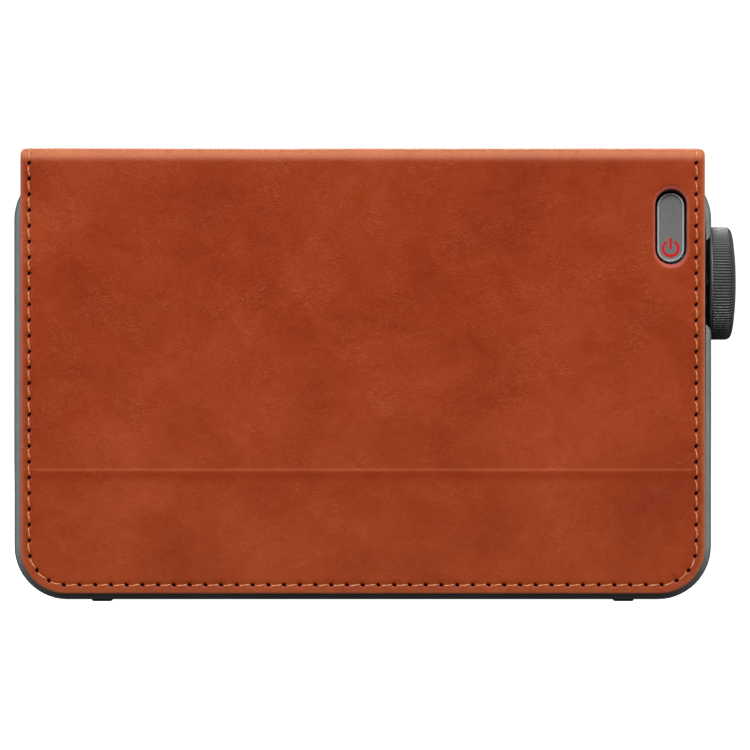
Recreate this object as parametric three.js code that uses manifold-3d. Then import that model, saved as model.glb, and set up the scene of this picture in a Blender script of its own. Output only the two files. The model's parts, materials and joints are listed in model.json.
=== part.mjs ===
// A portable world-band radio in a stitched leather wrap-over cover.
//
// Millimetres, +Z up. In the working frame x = 0 is the middle of the case, y = 0 lies near the
// middle of its depth with the front facing -Y, and z = 0 is the surface that the feet stand on.
// The exported group is shifted so that the origin is the centre of the whole radio's footprint.

import * as THREE from 'three';
import { mergeVertices } from 'three/addons/utils/BufferGeometryUtils.js';
import Module from 'manifold-3d';

const wasm = await Module();
wasm.setup();

// ---------------------------------------------------------------- driving dimensions

const GAP = 0.3; // clearance between pieces that touch
const BEYOND = 1; // how far a cutting tool runs past the face that it cuts

// Case: two moulded halves that meet at the parting plane.
const CASE_WIDTH = 168;
const CASE_HEIGHT = 104.3;
const CASE_FRONT = -14;
const CASE_REAR = 15;
const CASE_CORNER = 12.8; // corner radius seen from the front
const CASE_EDGE = 2.6; // rounding of the front and rear edges
const PARTING = -6;
const FACE_WALL = 2;
const SIDE_WALL = 3.2;
const TOP_WALL = 2.2;
const FOOT_HEIGHT = 0.5; // how far the feet lift the case

// Antenna shelf: the upper rear of the case is stepped in, and the stowed antenna lies on the step.
const SHELF_Z = 90;
const STEP_Y = 5.5;

// Leather cover: back tab, spine over the top, and a front flap with a cross crease.
const LEATHER = 2;
const COVER_HALF_WIDTH = 82.2;
const FLAP_MID_Y = -16; // middle of the leather's thickness in the front flap
const SPINE_MID_Z = 108.1; // and in the spine
const TAB_MID_Y = 6.8; // and in the back tab
const CREASE_Z = 31.6;
const FLAP_BOTTOM_Z = 2;
const FLAP_CORNER = 11;
const FOLD_GAP = 1.3; // a panel starts this far from the fold line of its round-ended neighbour
const TAB_HALF_WIDTH = 66;
const TAB_BOTTOM_Z = 92;
const TAB_CORNER = 5;

// Snap fasteners that hold the back tab to the case.
const SNAP_X = 45;
const SNAP_Z = 99.5;
const SNAP_CAP_RADIUS = 3.6;
const SNAP_CAP_THICKNESS = 0.9;
const SNAP_POST_RADIUS = 1.2;
const SNAP_STUD_RADIUS = 2;

// Power button: an upright pill in a slot, seen through the cover's cut-out.
const POWER_X = 74.05;
const POWER_Z = 90;
const POWER_WIDTH = 6.5;
const POWER_HEIGHT = 16.75;
const POWER_SLOT_WIDTH = 7.6;
const POWER_SLOT_HEIGHT = 18.2;
const POWER_FLANGE = 1.2; // how far the retaining flange stands out past the button
const CUTOUT_WIDTH = 8.5;
const CUTOUT_HEIGHT = 19.5;
const POWER_PROUD = 0.7;

// Keypad on the front panel.
const KEY_WIDTH = 13.5;
const KEY_HEIGHT = 8.5;
const KEY_CORNER = 2;
const KEY_PROUD = 0.6; // how far a key stands out from the front panel
const KEY_FLANGE = 0.8;
const KEY_FLANGE_THICKNESS = 0.8;
const KEY_COLUMNS = [12, 30, 48, 66];
const KEY_ROWS = [50, 36, 22];
const KEY_NAMES = [
  ['key_1', 'key_2', 'key_3', 'key_0'],
  ['key_4', 'key_5', 'key_6', 'key_band'],
  ['key_7', 'key_8', 'key_9', 'key_mode'],
];

// Tuning knob on the right side, in a round pocket that breaks out through the front edge.
const KNOB_RADIUS = 13.7;
const KNOB_Y = -0.8;
const KNOB_Z = 76.8;
const KNOB_REACH = 6.4; // how far it stands out from the side of the case
const KNOB_INSET = 0.3; // how far it is sunk into the side of the case
const KNOB_EDGE = 1.5;
const KNOB_DOME = 1.1;
const POCKET_RADIUS = 16.4;
const POCKET_DEPTH = 1.7;
const SHAFT_RADIUS = 3;
const SHAFT_SHORT = 2; // how far the shaft stops short of the knob's domed face
const SHAFT_SOCKET = 5; // how far the shaft runs into the encoder
const ENCODER_FRONT = -7.6;
const ENCODER_REAR = 6;
const ENCODER_HALF_HEIGHT = 6.6;
const ENCODER_DEPTH = 10.9;

// Speaker, behind a slotted grille on the left of the front panel.
const SPEAKER_X = -42;
const SPEAKER_Z = 60;
const SPEAKER_OPENING = 27;
const GRILLE_RADIUS = 32;
const GRILLE_THICKNESS = 1;
const GRILLE_SLOT = 3;
const GRILLE_PITCH = 6;
const GRILLE_MARGIN = 4;

// Display window and the module behind it.
const WINDOW_X = 33;
const WINDOW_Z = 81;
const WINDOW_WIDTH = 66;
const WINDOW_HEIGHT = 30;
const WINDOW_BORDER = 2;
const WINDOW_THICKNESS = 1;

// Telescopic antenna, lying on the shelf with its swivel at the left end.
const PIVOT_X = -72;
const PIVOT_Y = 12;
const PIVOT_Z = 93.8;
const SWIVEL_RADIUS = 2.4;
const SWIVEL_COLLAR = 0.6; // how far its collar stands out past the barrel
const SWIVEL_DEPTH = 2.6; // how far the swivel is let into the shelf
const TONGUE_RADIUS = 2.2;
const TONGUE_THICKNESS = 2.2;
const EAR_THICKNESS = 1.6;
const SECTION_RADII = [2.5, 1.85, 1.3, 0.8];
const SECTION_WALL = 0.35;
const SECTION_START = 4; // from the pin to the first section
const SECTION_END_X = 70;
const SECTION_STAGGER = 1.2; // how far each section stands out of the one around it
const TIP_RADIUS = 2.6;
const TIP_LENGTH = 3.4;

// Battery bay for four AA cells, closed by a door in the rear.
const CELL_RADIUS = 7.1;
const CELL_LENGTH = 50.2;
const CELL_X = 25.4;
const CELL_Y = 5.7;
const CELL_ROWS = [12.6, 27.9];
const BAY_HALF_WIDTH = 54.2;
const BAY_FRONT = -3;
const BAY_BOTTOM = 5;
const BAY_TOP = 35.6;
const BAY_WALL = 1.4;
const DOOR_HALF_WIDTH = 57;
const DOOR_BOTTOM = 4.5;
const DOOR_TOP = 37.7;
const DOOR_THICKNESS = 1.9;

// Screws that clamp the two halves together, as [x, z].
const SCREWS = {
  case_screw_lower_left: [-77.2, 17.5],
  case_screw_lower_right: [77.2, 17.5],
  case_screw_upper_left: [-77.2, 58],
  case_screw_upper_right: [77.2, 58],
};
const SCREW_RADIUS = 1.2;
const SCREW_HEAD_RADIUS = 2.5;
const SCREW_HEAD_HEIGHT = 1.6;
const BOSS_RADIUS = 3.2;

// Feet: two pads across the depth of the case.
const FOOT_X = 62.9;
const FOOT_WIDTH = 5.1;
const FOOT_FRONT = -11;
const FOOT_REAR = 12;
const FOOT_SUNK = 0.5; // how far a foot is let into the case

// Circuit board, aerial rod and sockets.
const BOARD_FRONT = -9.8;
const BOARD_THICKNESS = 1.6;
const FERRITE_Y = -1.5;
const FERRITE_Z = 97;
const FERRITE_RADIUS = 3.5;
const SOCKET_Y = 3;
const SOCKET_RADIUS = 3.4;
const SOCKET_BORE = 1.8;
const SOCKETS = { headphone_socket: 44, power_socket: 30 };

// ---------------------------------------------------------------- worked-out dimensions

const CASE_SIDE = CASE_WIDTH / 2;
const CASE_BOTTOM = FOOT_HEIGHT;
const CASE_TOP = FOOT_HEIGHT + CASE_HEIGHT;
const PANEL_BACK = CASE_FRONT + FACE_WALL;
const HOLLOW_SIDE = CASE_SIDE - SIDE_WALL;
const HOLLOW_REAR = CASE_REAR - FACE_WALL;
const FLANGE_FRONT = PANEL_BACK + GAP;
const FLANGE_REAR = FLANGE_FRONT + KEY_FLANGE_THICKNESS;
const KNOB_END = CASE_SIDE + KNOB_REACH;
const COVER_FRONT = FLAP_MID_Y - LEATHER / 2;

// ---------------------------------------------------------------- looks

const LOOKS = {
  leather: { color: 0x9c3d1d, roughness: 0.55, metalness: 0 },
  greyPlastic: { color: 0x74777a, roughness: 0.5, metalness: 0.1 },
  darkPlastic: { color: 0x2b2c2e, roughness: 0.6, metalness: 0 },
  buttonPlastic: { color: 0x757474, roughness: 0.45, metalness: 0.1 },
  keyPlastic: { color: 0x4a4c4f, roughness: 0.6, metalness: 0 },
  clear: { color: 0xb9c4c2, roughness: 0.05, metalness: 0, transparent: true, opacity: 0.35 },
  display: { color: 0x9aa38c, roughness: 0.4, metalness: 0 },
  steel: { color: 0xb8babd, roughness: 0.3, metalness: 1 },
  chrome: { color: 0xd5d7da, roughness: 0.12, metalness: 1 },
  ferrite: { color: 0x35332f, roughness: 0.7, metalness: 0.2 },
  copper: { color: 0xb4653a, roughness: 0.35, metalness: 1 },
  board: { color: 0x1f5a35, roughness: 0.5, metalness: 0 },
  paper: { color: 0x26272a, roughness: 0.9, metalness: 0 },
  cell: { color: 0x3a3f46, roughness: 0.35, metalness: 0.4 },
  rubber: { color: 0x282725, roughness: 0.9, metalness: 0 },
};

// ---------------------------------------------------------------- outlines

function roundedRectangle(left, right, bottom, top, radius) {
  const shape = new THREE.Shape();
  shape.absarc(right - radius, bottom + radius, radius, -Math.PI / 2, 0);
  shape.absarc(right - radius, top - radius, radius, 0, Math.PI / 2);
  shape.absarc(left + radius, top - radius, radius, Math.PI / 2, Math.PI);
  shape.absarc(left + radius, bottom + radius, radius, Math.PI, (3 * Math.PI) / 2);
  shape.closePath();
  return shape;
}

function pill(x, z, width, height) {
  const radius = width / 2;
  const rise = (height - width) / 2;
  const shape = new THREE.Shape();
  shape.absarc(x, z + rise, radius, 0, Math.PI);
  shape.absarc(x, z - rise, radius, Math.PI, 2 * Math.PI);
  shape.closePath();
  return shape;
}

// A panel with square upper corners and round lower ones.
function hangingPanel(halfWidth, bottom, top, radius) {
  const shape = new THREE.Shape();
  shape.moveTo(halfWidth, top);
  shape.lineTo(-halfWidth, top);
  shape.absarc(-halfWidth + radius, bottom + radius, radius, Math.PI, (3 * Math.PI) / 2);
  shape.absarc(halfWidth - radius, bottom + radius, radius, (3 * Math.PI) / 2, 2 * Math.PI);
  shape.closePath();
  return shape;
}

// ---------------------------------------------------------------- solids

// An outline drawn in x and z, made solid from the y of its front to the y of its rear. An edge
// radius rounds both ends inside that length.
function slab(shape, front, rear, { edge = 0, segments = 5 } = {}) {
  const geometry = new THREE.ExtrudeGeometry(shape, {
    depth: rear - front - 2 * edge,
    curveSegments: segments,
    steps: 1,
    bevelEnabled: edge > 0,
    bevelSize: edge,
    bevelThickness: edge,
    bevelOffset: -edge,
    bevelSegments: 3,
  });
  geometry.applyMatrix4(new THREE.Matrix4().makeBasis(
    new THREE.Vector3(1, 0, 0),
    new THREE.Vector3(0, 0, 1),
    new THREE.Vector3(0, -1, 0),
  ));
  return geometry.translate(0, rear - edge, 0);
}

// An outline drawn in y and z, made solid from the left x to the right x.
function strip(shape, left, right, segments = 6) {
  const geometry = new THREE.ExtrudeGeometry(shape, {
    depth: right - left,
    curveSegments: segments,
    steps: 1,
    bevelEnabled: false,
  });
  geometry.applyMatrix4(new THREE.Matrix4().makeBasis(
    new THREE.Vector3(0, 1, 0),
    new THREE.Vector3(0, 0, 1),
    new THREE.Vector3(1, 0, 0),
  ));
  return geometry.translate(left, 0, 0);
}

function block(left, right, front, rear, bottom, top) {
  const geometry = new THREE.BoxGeometry(right - left, rear - front, top - bottom);
  return geometry.translate((left + right) / 2, (front + rear) / 2, (bottom + top) / 2);
}

function rodAlongX(left, right, y, z, radius, sides = 16) {
  const geometry = new THREE.CylinderGeometry(radius, radius, right - left, sides);
  return geometry.rotateZ(-Math.PI / 2).translate((left + right) / 2, y, z);
}

function rodAlongY(x, front, rear, z, radius, sides = 16) {
  const geometry = new THREE.CylinderGeometry(radius, radius, rear - front, sides);
  return geometry.translate(x, (front + rear) / 2, z);
}

function rodAlongZ(x, y, bottom, top, radius, sides = 16) {
  const geometry = new THREE.CylinderGeometry(radius, radius, top - bottom, sides);
  return geometry.rotateX(Math.PI / 2).translate(x, y, (bottom + top) / 2);
}

// Turned pieces. Each profile is a list of [radius, distance along the axis].
function turnedAlongY(profile, x, z, sides = 16) {
  const points = profile.map(([radius, along]) => new THREE.Vector2(radius, along));
  return new THREE.LatheGeometry(points, sides).translate(x, 0, z);
}

function turnedAlongX(profile, y, z, sides = 16) {
  const points = profile.map(([radius, along]) => new THREE.Vector2(radius, along));
  return new THREE.LatheGeometry(points, sides).rotateZ(-Math.PI / 2).translate(0, y, z);
}

function toSolid(geometry) {
  if (geometry.getMesh) {
    return geometry;
  }
  const bare = geometry.clone();
  bare.deleteAttribute('normal');
  bare.deleteAttribute('uv');
  const merged = mergeVertices(bare, 1e-4);
  return new wasm.Manifold(new wasm.Mesh({
    numProp: 3,
    vertProperties: new Float32Array(merged.attributes.position.array),
    triVerts: new Uint32Array(merged.index.array),
  }));
}

const join = (...pieces) => pieces.map(toSolid).reduce((whole, piece) => whole.add(piece));
const cut = (body, ...tools) => tools.map(toSolid).reduce((rest, tool) => rest.subtract(tool), toSolid(body));
const overlapOf = (first, second) => toSolid(first).intersect(toSolid(second));

function toGeometry(solid) {
  if (!solid.getMesh) {
    return solid;
  }
  const mesh = solid.getMesh();
  const geometry = new THREE.BufferGeometry();
  geometry.setAttribute('position', new THREE.BufferAttribute(mesh.vertProperties, 3));
  geometry.setIndex(new THREE.BufferAttribute(mesh.triVerts, 1));
  geometry.computeVertexNormals();
  return geometry;
}

const radio = new THREE.Group();

function add(name, shape, look) {
  const mesh = new THREE.Mesh(toGeometry(shape), new THREE.MeshStandardMaterial(LOOKS[look]));
  mesh.name = name;
  radio.add(mesh);
}

// ---------------------------------------------------------------- shared cutters

const screwPlaces = Object.values(SCREWS);
const keyPlaces = KEY_ROWS.flatMap((z, row) => (
  KEY_COLUMNS.map((x, column) => ({ name: KEY_NAMES[row][column], x, z }))
));

const caseOutline = roundedRectangle(-CASE_SIDE, CASE_SIDE, CASE_BOTTOM, CASE_TOP, CASE_CORNER);
const caseBlock = slab(caseOutline, CASE_FRONT, CASE_REAR, { edge: CASE_EDGE, segments: 6 });

const knobPocket = rodAlongX(
  CASE_SIDE - POCKET_DEPTH, CASE_SIDE + BEYOND, KNOB_Y, KNOB_Z, POCKET_RADIUS, 40,
);

function footRecess(side) {
  const reach = FOOT_WIDTH / 2 + GAP;
  const top = FOOT_HEIGHT + FOOT_SUNK + GAP;
  return block(side * FOOT_X - reach, side * FOOT_X + reach, FOOT_FRONT - GAP, FOOT_REAR + GAP, -BEYOND, top);
}

function hollow(front, rear) {
  const bottom = CASE_BOTTOM + TOP_WALL;
  const top = CASE_TOP - TOP_WALL;
  const outline = roundedRectangle(-HOLLOW_SIDE, HOLLOW_SIDE, bottom, top, CASE_CORNER - TOP_WALL);
  return slab(outline, front, rear);
}

// ---------------------------------------------------------------- front half of the case

function frontCase() {
  const rear = PARTING - GAP / 2;
  const shell = cut(
    overlapOf(caseBlock, block(-CASE_WIDTH, CASE_WIDTH, CASE_FRONT - BEYOND, rear, 0, CASE_TOP + BEYOND)),
    hollow(PANEL_BACK, rear + BEYOND),
  );
  const bosses = screwPlaces.map(([x, z]) => rodAlongY(x, PANEL_BACK - BEYOND, rear, z, BOSS_RADIUS, 12));
  const pilotRadius = SCREW_RADIUS + GAP;
  const pilots = screwPlaces.map(([x, z]) => rodAlongY(x, PANEL_BACK, rear + BEYOND, z, pilotRadius, 8));
  const keyHoles = keyPlaces.map(({ x, z }) => slab(
    keyOutline(x, z, GAP), CASE_FRONT - BEYOND, PANEL_BACK + BEYOND, { segments: 2 },
  ));
  const windowRebate = slab(
    windowOutline(GAP), CASE_FRONT - BEYOND, CASE_FRONT + WINDOW_THICKNESS + GAP, { segments: 3 },
  );
  const windowOpening = slab(
    windowOutline(-WINDOW_BORDER), CASE_FRONT - BEYOND, PANEL_BACK + BEYOND, { segments: 3 },
  );
  const grilleRebate = rodAlongY(
    SPEAKER_X, CASE_FRONT - BEYOND, CASE_FRONT + GRILLE_THICKNESS + GAP, SPEAKER_Z, GRILLE_RADIUS + GAP, 32,
  );
  const grilleOpening = rodAlongY(
    SPEAKER_X, CASE_FRONT - BEYOND, PANEL_BACK + BEYOND, SPEAKER_Z, SPEAKER_OPENING, 24,
  );
  const powerSlot = slab(
    pill(POWER_X, POWER_Z, POWER_SLOT_WIDTH, POWER_SLOT_HEIGHT), CASE_FRONT - BEYOND, PANEL_BACK + BEYOND,
  );
  return cut(
    join(shell, ...bosses),
    ...pilots,
    ...keyHoles,
    windowRebate,
    windowOpening,
    grilleRebate,
    grilleOpening,
    powerSlot,
    knobPocket,
    footRecess(-1),
    footRecess(1),
  );
}

function windowOutline(growth) {
  return roundedRectangle(
    WINDOW_X - WINDOW_WIDTH / 2 - growth,
    WINDOW_X + WINDOW_WIDTH / 2 + growth,
    WINDOW_Z - WINDOW_HEIGHT / 2 - growth,
    WINDOW_Z + WINDOW_HEIGHT / 2 + growth,
    KEY_CORNER + growth / 2,
  );
}

// ---------------------------------------------------------------- rear half of the case

function rearCase() {
  const front = PARTING + GAP / 2;
  const stepWall = STEP_Y - FACE_WALL;
  const outer = cut(
    overlapOf(caseBlock, block(-CASE_WIDTH, CASE_WIDTH, front, CASE_REAR + BEYOND, 0, CASE_TOP + BEYOND)),
    block(-CASE_WIDTH, CASE_WIDTH, STEP_Y, CASE_REAR + BEYOND, SHELF_Z, CASE_TOP + BEYOND),
  );
  const room = cut(
    hollow(front - BEYOND, HOLLOW_REAR),
    block(-CASE_WIDTH, CASE_WIDTH, stepWall, CASE_REAR + BEYOND, SHELF_Z - FACE_WALL, CASE_TOP + BEYOND),
  );
  const bayWalls = block(
    -BAY_HALF_WIDTH - BAY_WALL, BAY_HALF_WIDTH + BAY_WALL, BAY_FRONT - BAY_WALL, CASE_REAR - CASE_EDGE,
    CASE_BOTTOM + TOP_WALL - BEYOND, BAY_TOP + BAY_WALL,
  );
  const bosses = screwPlaces.map(([x, z]) => rodAlongY(x, front, HOLLOW_REAR + BEYOND, z, BOSS_RADIUS, 12));
  const screwHoles = screwPlaces.flatMap(([x, z]) => [
    rodAlongY(x, front - BEYOND, CASE_REAR + BEYOND, z, SCREW_RADIUS + GAP, 8),
    rodAlongY(x, CASE_REAR - SCREW_HEAD_HEIGHT - GAP, CASE_REAR + BEYOND, z, SCREW_HEAD_RADIUS + GAP, 14),
  ]);
  const bay = block(-BAY_HALF_WIDTH, BAY_HALF_WIDTH, BAY_FRONT, CASE_REAR + BEYOND, BAY_BOTTOM, BAY_TOP);
  const doorRebate = block(
    -DOOR_HALF_WIDTH - GAP, DOOR_HALF_WIDTH + GAP, CASE_REAR - DOOR_THICKNESS - GAP, CASE_REAR + BEYOND,
    DOOR_BOTTOM - GAP, DOOR_TOP + GAP,
  );
  const studHoles = [-1, 1].map((side) => rodAlongY(
    side * SNAP_X, stepWall - BEYOND, STEP_Y + BEYOND, SNAP_Z, SNAP_STUD_RADIUS + GAP, 12,
  ));
  const socketHoles = Object.values(SOCKETS).map((z) => rodAlongX(
    -CASE_SIDE - BEYOND, -HOLLOW_SIDE + BEYOND, SOCKET_Y, z, SOCKET_RADIUS + GAP, 14,
  ));
  return cut(
    join(outer.subtract(toSolid(room)), bayWalls, ...bosses),
    ...screwHoles,
    bay,
    doorRebate,
    ...studHoles,
    ...socketHoles,
    rodAlongZ(PIVOT_X, PIVOT_Y, SHELF_Z - SWIVEL_DEPTH - GAP, SHELF_Z + BEYOND, SWIVEL_RADIUS + GAP),
    rodAlongX(HOLLOW_SIDE - BEYOND, CASE_SIDE + BEYOND, KNOB_Y, KNOB_Z, SHAFT_RADIUS + GAP),
    knobPocket,
    footRecess(-1),
    footRecess(1),
  );
}

// ---------------------------------------------------------------- front panel pieces

function keyOutline(x, z, growth) {
  const halfWidth = KEY_WIDTH / 2 + growth;
  const halfHeight = KEY_HEIGHT / 2 + growth;
  return roundedRectangle(x - halfWidth, x + halfWidth, z - halfHeight, z + halfHeight, KEY_CORNER);
}

function addKeypad() {
  const halfWidth = KEY_WIDTH / 2 + KEY_FLANGE;
  const halfHeight = KEY_HEIGHT / 2 + KEY_FLANGE;
  keyPlaces.forEach(({ name, x, z }) => {
    const face = slab(keyOutline(x, z, 0), CASE_FRONT - KEY_PROUD, FLANGE_REAR, { segments: 2 });
    const flange = block(
      x - halfWidth, x + halfWidth, FLANGE_FRONT, FLANGE_REAR, z - halfHeight, z + halfHeight,
    );
    add(name, join(face, flange), 'keyPlastic');
  });
}

function addPowerButton() {
  const face = slab(pill(POWER_X, POWER_Z, POWER_WIDTH, POWER_HEIGHT), CASE_FRONT - POWER_PROUD, FLANGE_REAR);
  const flange = slab(pill(
    POWER_X, POWER_Z, POWER_WIDTH + 2 * POWER_FLANGE, POWER_HEIGHT + 2 * POWER_FLANGE,
  ), FLANGE_FRONT, FLANGE_REAR);
  add('power_button', join(face, flange), 'buttonPlastic');
  const halfWidth = 2.8;
  const halfHeight = 3.2;
  const depth = 2.8;
  add('power_switch', block(
    POWER_X - halfWidth, POWER_X + halfWidth, BOARD_FRONT, BOARD_FRONT + depth,
    POWER_Z - halfHeight, POWER_Z + halfHeight,
  ), 'darkPlastic');
}

function addDisplay() {
  add('display_window', slab(
    windowOutline(0), CASE_FRONT, CASE_FRONT + WINDOW_THICKNESS, { segments: 3 },
  ), 'clear');
  add('display_module', block(
    WINDOW_X - WINDOW_WIDTH / 2 + 1, WINDOW_X + WINDOW_WIDTH / 2 - 1, FLANGE_FRONT, BOARD_FRONT - GAP,
    WINDOW_Z - WINDOW_HEIGHT / 2 + 1, WINDOW_Z + WINDOW_HEIGHT / 2 - 1,
  ), 'display');
}

function speakerGrille() {
  const disc = rodAlongY(SPEAKER_X, CASE_FRONT, CASE_FRONT + GRILLE_THICKNESS, SPEAKER_Z, GRILLE_RADIUS, 32);
  const reach = GRILLE_RADIUS - GRILLE_MARGIN;
  const count = Math.floor(reach / GRILLE_PITCH);
  const slots = [];
  for (let step = -count; step <= count; step += 1) {
    const z = SPEAKER_Z + step * GRILLE_PITCH;
    const half = Math.sqrt(reach ** 2 - (step * GRILLE_PITCH) ** 2);
    slots.push(block(
      SPEAKER_X - half, SPEAKER_X + half, CASE_FRONT - BEYOND, PANEL_BACK,
      z - GRILLE_SLOT / 2, z + GRILLE_SLOT / 2,
    ));
  }
  return cut(disc, ...slots);
}

function addSpeaker() {
  const front = FLANGE_FRONT;
  const back = 1.5;
  const basket = [
    [23.6, front],
    [28, front],
    [28, front + 1.2],
    [25, front + 1.2],
    [14, back],
    [5, back],
    [5, back - 1.2],
    [13.2, back - 1.2],
    [23.6, front + 0.7],
    [23.6, front],
  ];
  const cone = [
    [0, -6.5],
    [5, -4],
    [22.8, front + 0.5],
    [22.8, front + 1.3],
    [5, -3],
    [0, -3],
  ];
  const magnetRadius = 11;
  const magnetDepth = 6.7;
  add('speaker_grille', speakerGrille(), 'darkPlastic');
  add('speaker_frame', turnedAlongY(basket, SPEAKER_X, SPEAKER_Z), 'steel');
  add('speaker_cone', turnedAlongY(cone, SPEAKER_X, SPEAKER_Z), 'paper');
  add('speaker_magnet', rodAlongY(
    SPEAKER_X, back + GAP, back + GAP + magnetDepth, SPEAKER_Z, magnetRadius, 24,
  ), 'ferrite');
}

// ---------------------------------------------------------------- tuning

function addTuning() {
  const inner = CASE_SIDE - KNOB_INSET;
  const shaftEnd = KNOB_END - KNOB_DOME - SHAFT_SHORT;
  const profile = [
    [0, inner],
    [KNOB_RADIUS - 0.5, inner],
    [KNOB_RADIUS, inner + 0.5],
    [KNOB_RADIUS, KNOB_END - KNOB_DOME - KNOB_EDGE],
    [KNOB_RADIUS - KNOB_EDGE * 0.3, KNOB_END - KNOB_DOME - KNOB_EDGE * 0.3],
    [KNOB_RADIUS - KNOB_EDGE, KNOB_END - KNOB_DOME * 0.75],
    [KNOB_RADIUS * 0.45, KNOB_END - KNOB_DOME * 0.15],
    [0, KNOB_END],
  ];
  const bore = rodAlongX(inner - BEYOND, shaftEnd + GAP, KNOB_Y, KNOB_Z, SHAFT_RADIUS + GAP);
  const encoderFace = HOLLOW_SIDE - 2 * GAP;
  const socketEnd = encoderFace - SHAFT_SOCKET;
  const body = block(
    encoderFace - ENCODER_DEPTH, encoderFace, ENCODER_FRONT, ENCODER_REAR,
    KNOB_Z - ENCODER_HALF_HEIGHT, KNOB_Z + ENCODER_HALF_HEIGHT,
  );
  const socket = rodAlongX(socketEnd - GAP, encoderFace + BEYOND, KNOB_Y, KNOB_Z, SHAFT_RADIUS + GAP);
  add('tuning_knob', cut(turnedAlongX(profile, KNOB_Y, KNOB_Z, 32), bore), 'darkPlastic');
  add('tuning_shaft', rodAlongX(socketEnd, shaftEnd, KNOB_Y, KNOB_Z, SHAFT_RADIUS), 'steel');
  add('tuning_encoder', cut(body, socket), 'steel');
}

// ---------------------------------------------------------------- telescopic antenna

function addAntenna() {
  const baseTop = SHELF_Z + 1.2;
  const earInner = TONGUE_THICKNESS / 2 + GAP;
  const earHalfWidth = 2.6;
  const earTop = PIVOT_Z + 2.4;
  const pinRadius = 0.9;
  const ears = [-1, 1].map((side) => {
    const near = PIVOT_Y + side * earInner;
    const far = near + side * EAR_THICKNESS;
    return block(
      PIVOT_X - earHalfWidth, PIVOT_X + earHalfWidth, Math.min(near, far), Math.max(near, far),
      baseTop - 0.5, earTop,
    );
  });
  const pinReach = earInner + EAR_THICKNESS;
  const pinHole = rodAlongY(
    PIVOT_X, PIVOT_Y - pinReach - BEYOND, PIVOT_Y + pinReach + BEYOND, PIVOT_Z, pinRadius + GAP, 12,
  );
  add('antenna_swivel', cut(
    join(
      rodAlongZ(PIVOT_X, PIVOT_Y, SHELF_Z - SWIVEL_DEPTH, baseTop, SWIVEL_RADIUS),
      rodAlongZ(PIVOT_X, PIVOT_Y, SHELF_Z + GAP, baseTop, SWIVEL_RADIUS + SWIVEL_COLLAR),
      ...ears,
    ),
    pinHole,
  ), 'chrome');
  add('antenna_pin', rodAlongY(
    PIVOT_X, PIVOT_Y - pinReach, PIVOT_Y + pinReach, PIVOT_Z, pinRadius, 12,
  ), 'steel');

  const tongue = rodAlongY(
    PIVOT_X, PIVOT_Y - TONGUE_THICKNESS / 2, PIVOT_Y + TONGUE_THICKNESS / 2, PIVOT_Z, TONGUE_RADIUS,
  );
  const neck = block(
    PIVOT_X, PIVOT_X + SECTION_START + GAP, PIVOT_Y - TONGUE_THICKNESS / 2, PIVOT_Y + TONGUE_THICKNESS / 2,
    PIVOT_Z - TONGUE_RADIUS * 0.8, PIVOT_Z + TONGUE_RADIUS * 0.8,
  );
  const collarLength = 2.5;
  const collar = rodAlongX(
    PIVOT_X + SECTION_START, PIVOT_X + SECTION_START + collarLength, PIVOT_Y, PIVOT_Z, SECTION_RADII[0], 12,
  );
  add('antenna_elbow', cut(join(tongue, neck, collar), pinHole), 'chrome');

  const firstStart = PIVOT_X + SECTION_START + collarLength + GAP;
  SECTION_RADII.forEach((radius, index) => {
    const start = firstStart + index * SECTION_STAGGER;
    const end = SECTION_END_X + index * SECTION_STAGGER;
    const tube = rodAlongX(start, end, PIVOT_Y, PIVOT_Z, radius, 12);
    const innermost = index === SECTION_RADII.length - 1;
    const boreStart = start + SECTION_STAGGER / 2;
    const bore = rodAlongX(boreStart, end + BEYOND, PIVOT_Y, PIVOT_Z, radius - SECTION_WALL, 12);
    add(`antenna_section_${index + 1}`, innermost ? tube : cut(tube, bore), 'chrome');
  });
  const tipStart = SECTION_END_X + (SECTION_RADII.length - 1) * SECTION_STAGGER + GAP;
  add('antenna_tip', turnedAlongX([
    [0, tipStart],
    [TIP_RADIUS * 0.8, tipStart],
    [TIP_RADIUS, tipStart + TIP_LENGTH * 0.25],
    [TIP_RADIUS, tipStart + TIP_LENGTH * 0.75],
    [TIP_RADIUS * 0.6, tipStart + TIP_LENGTH],
    [0, tipStart + TIP_LENGTH],
  ], PIVOT_Y, PIVOT_Z, 12), 'chrome');
}

// ---------------------------------------------------------------- power

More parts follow.
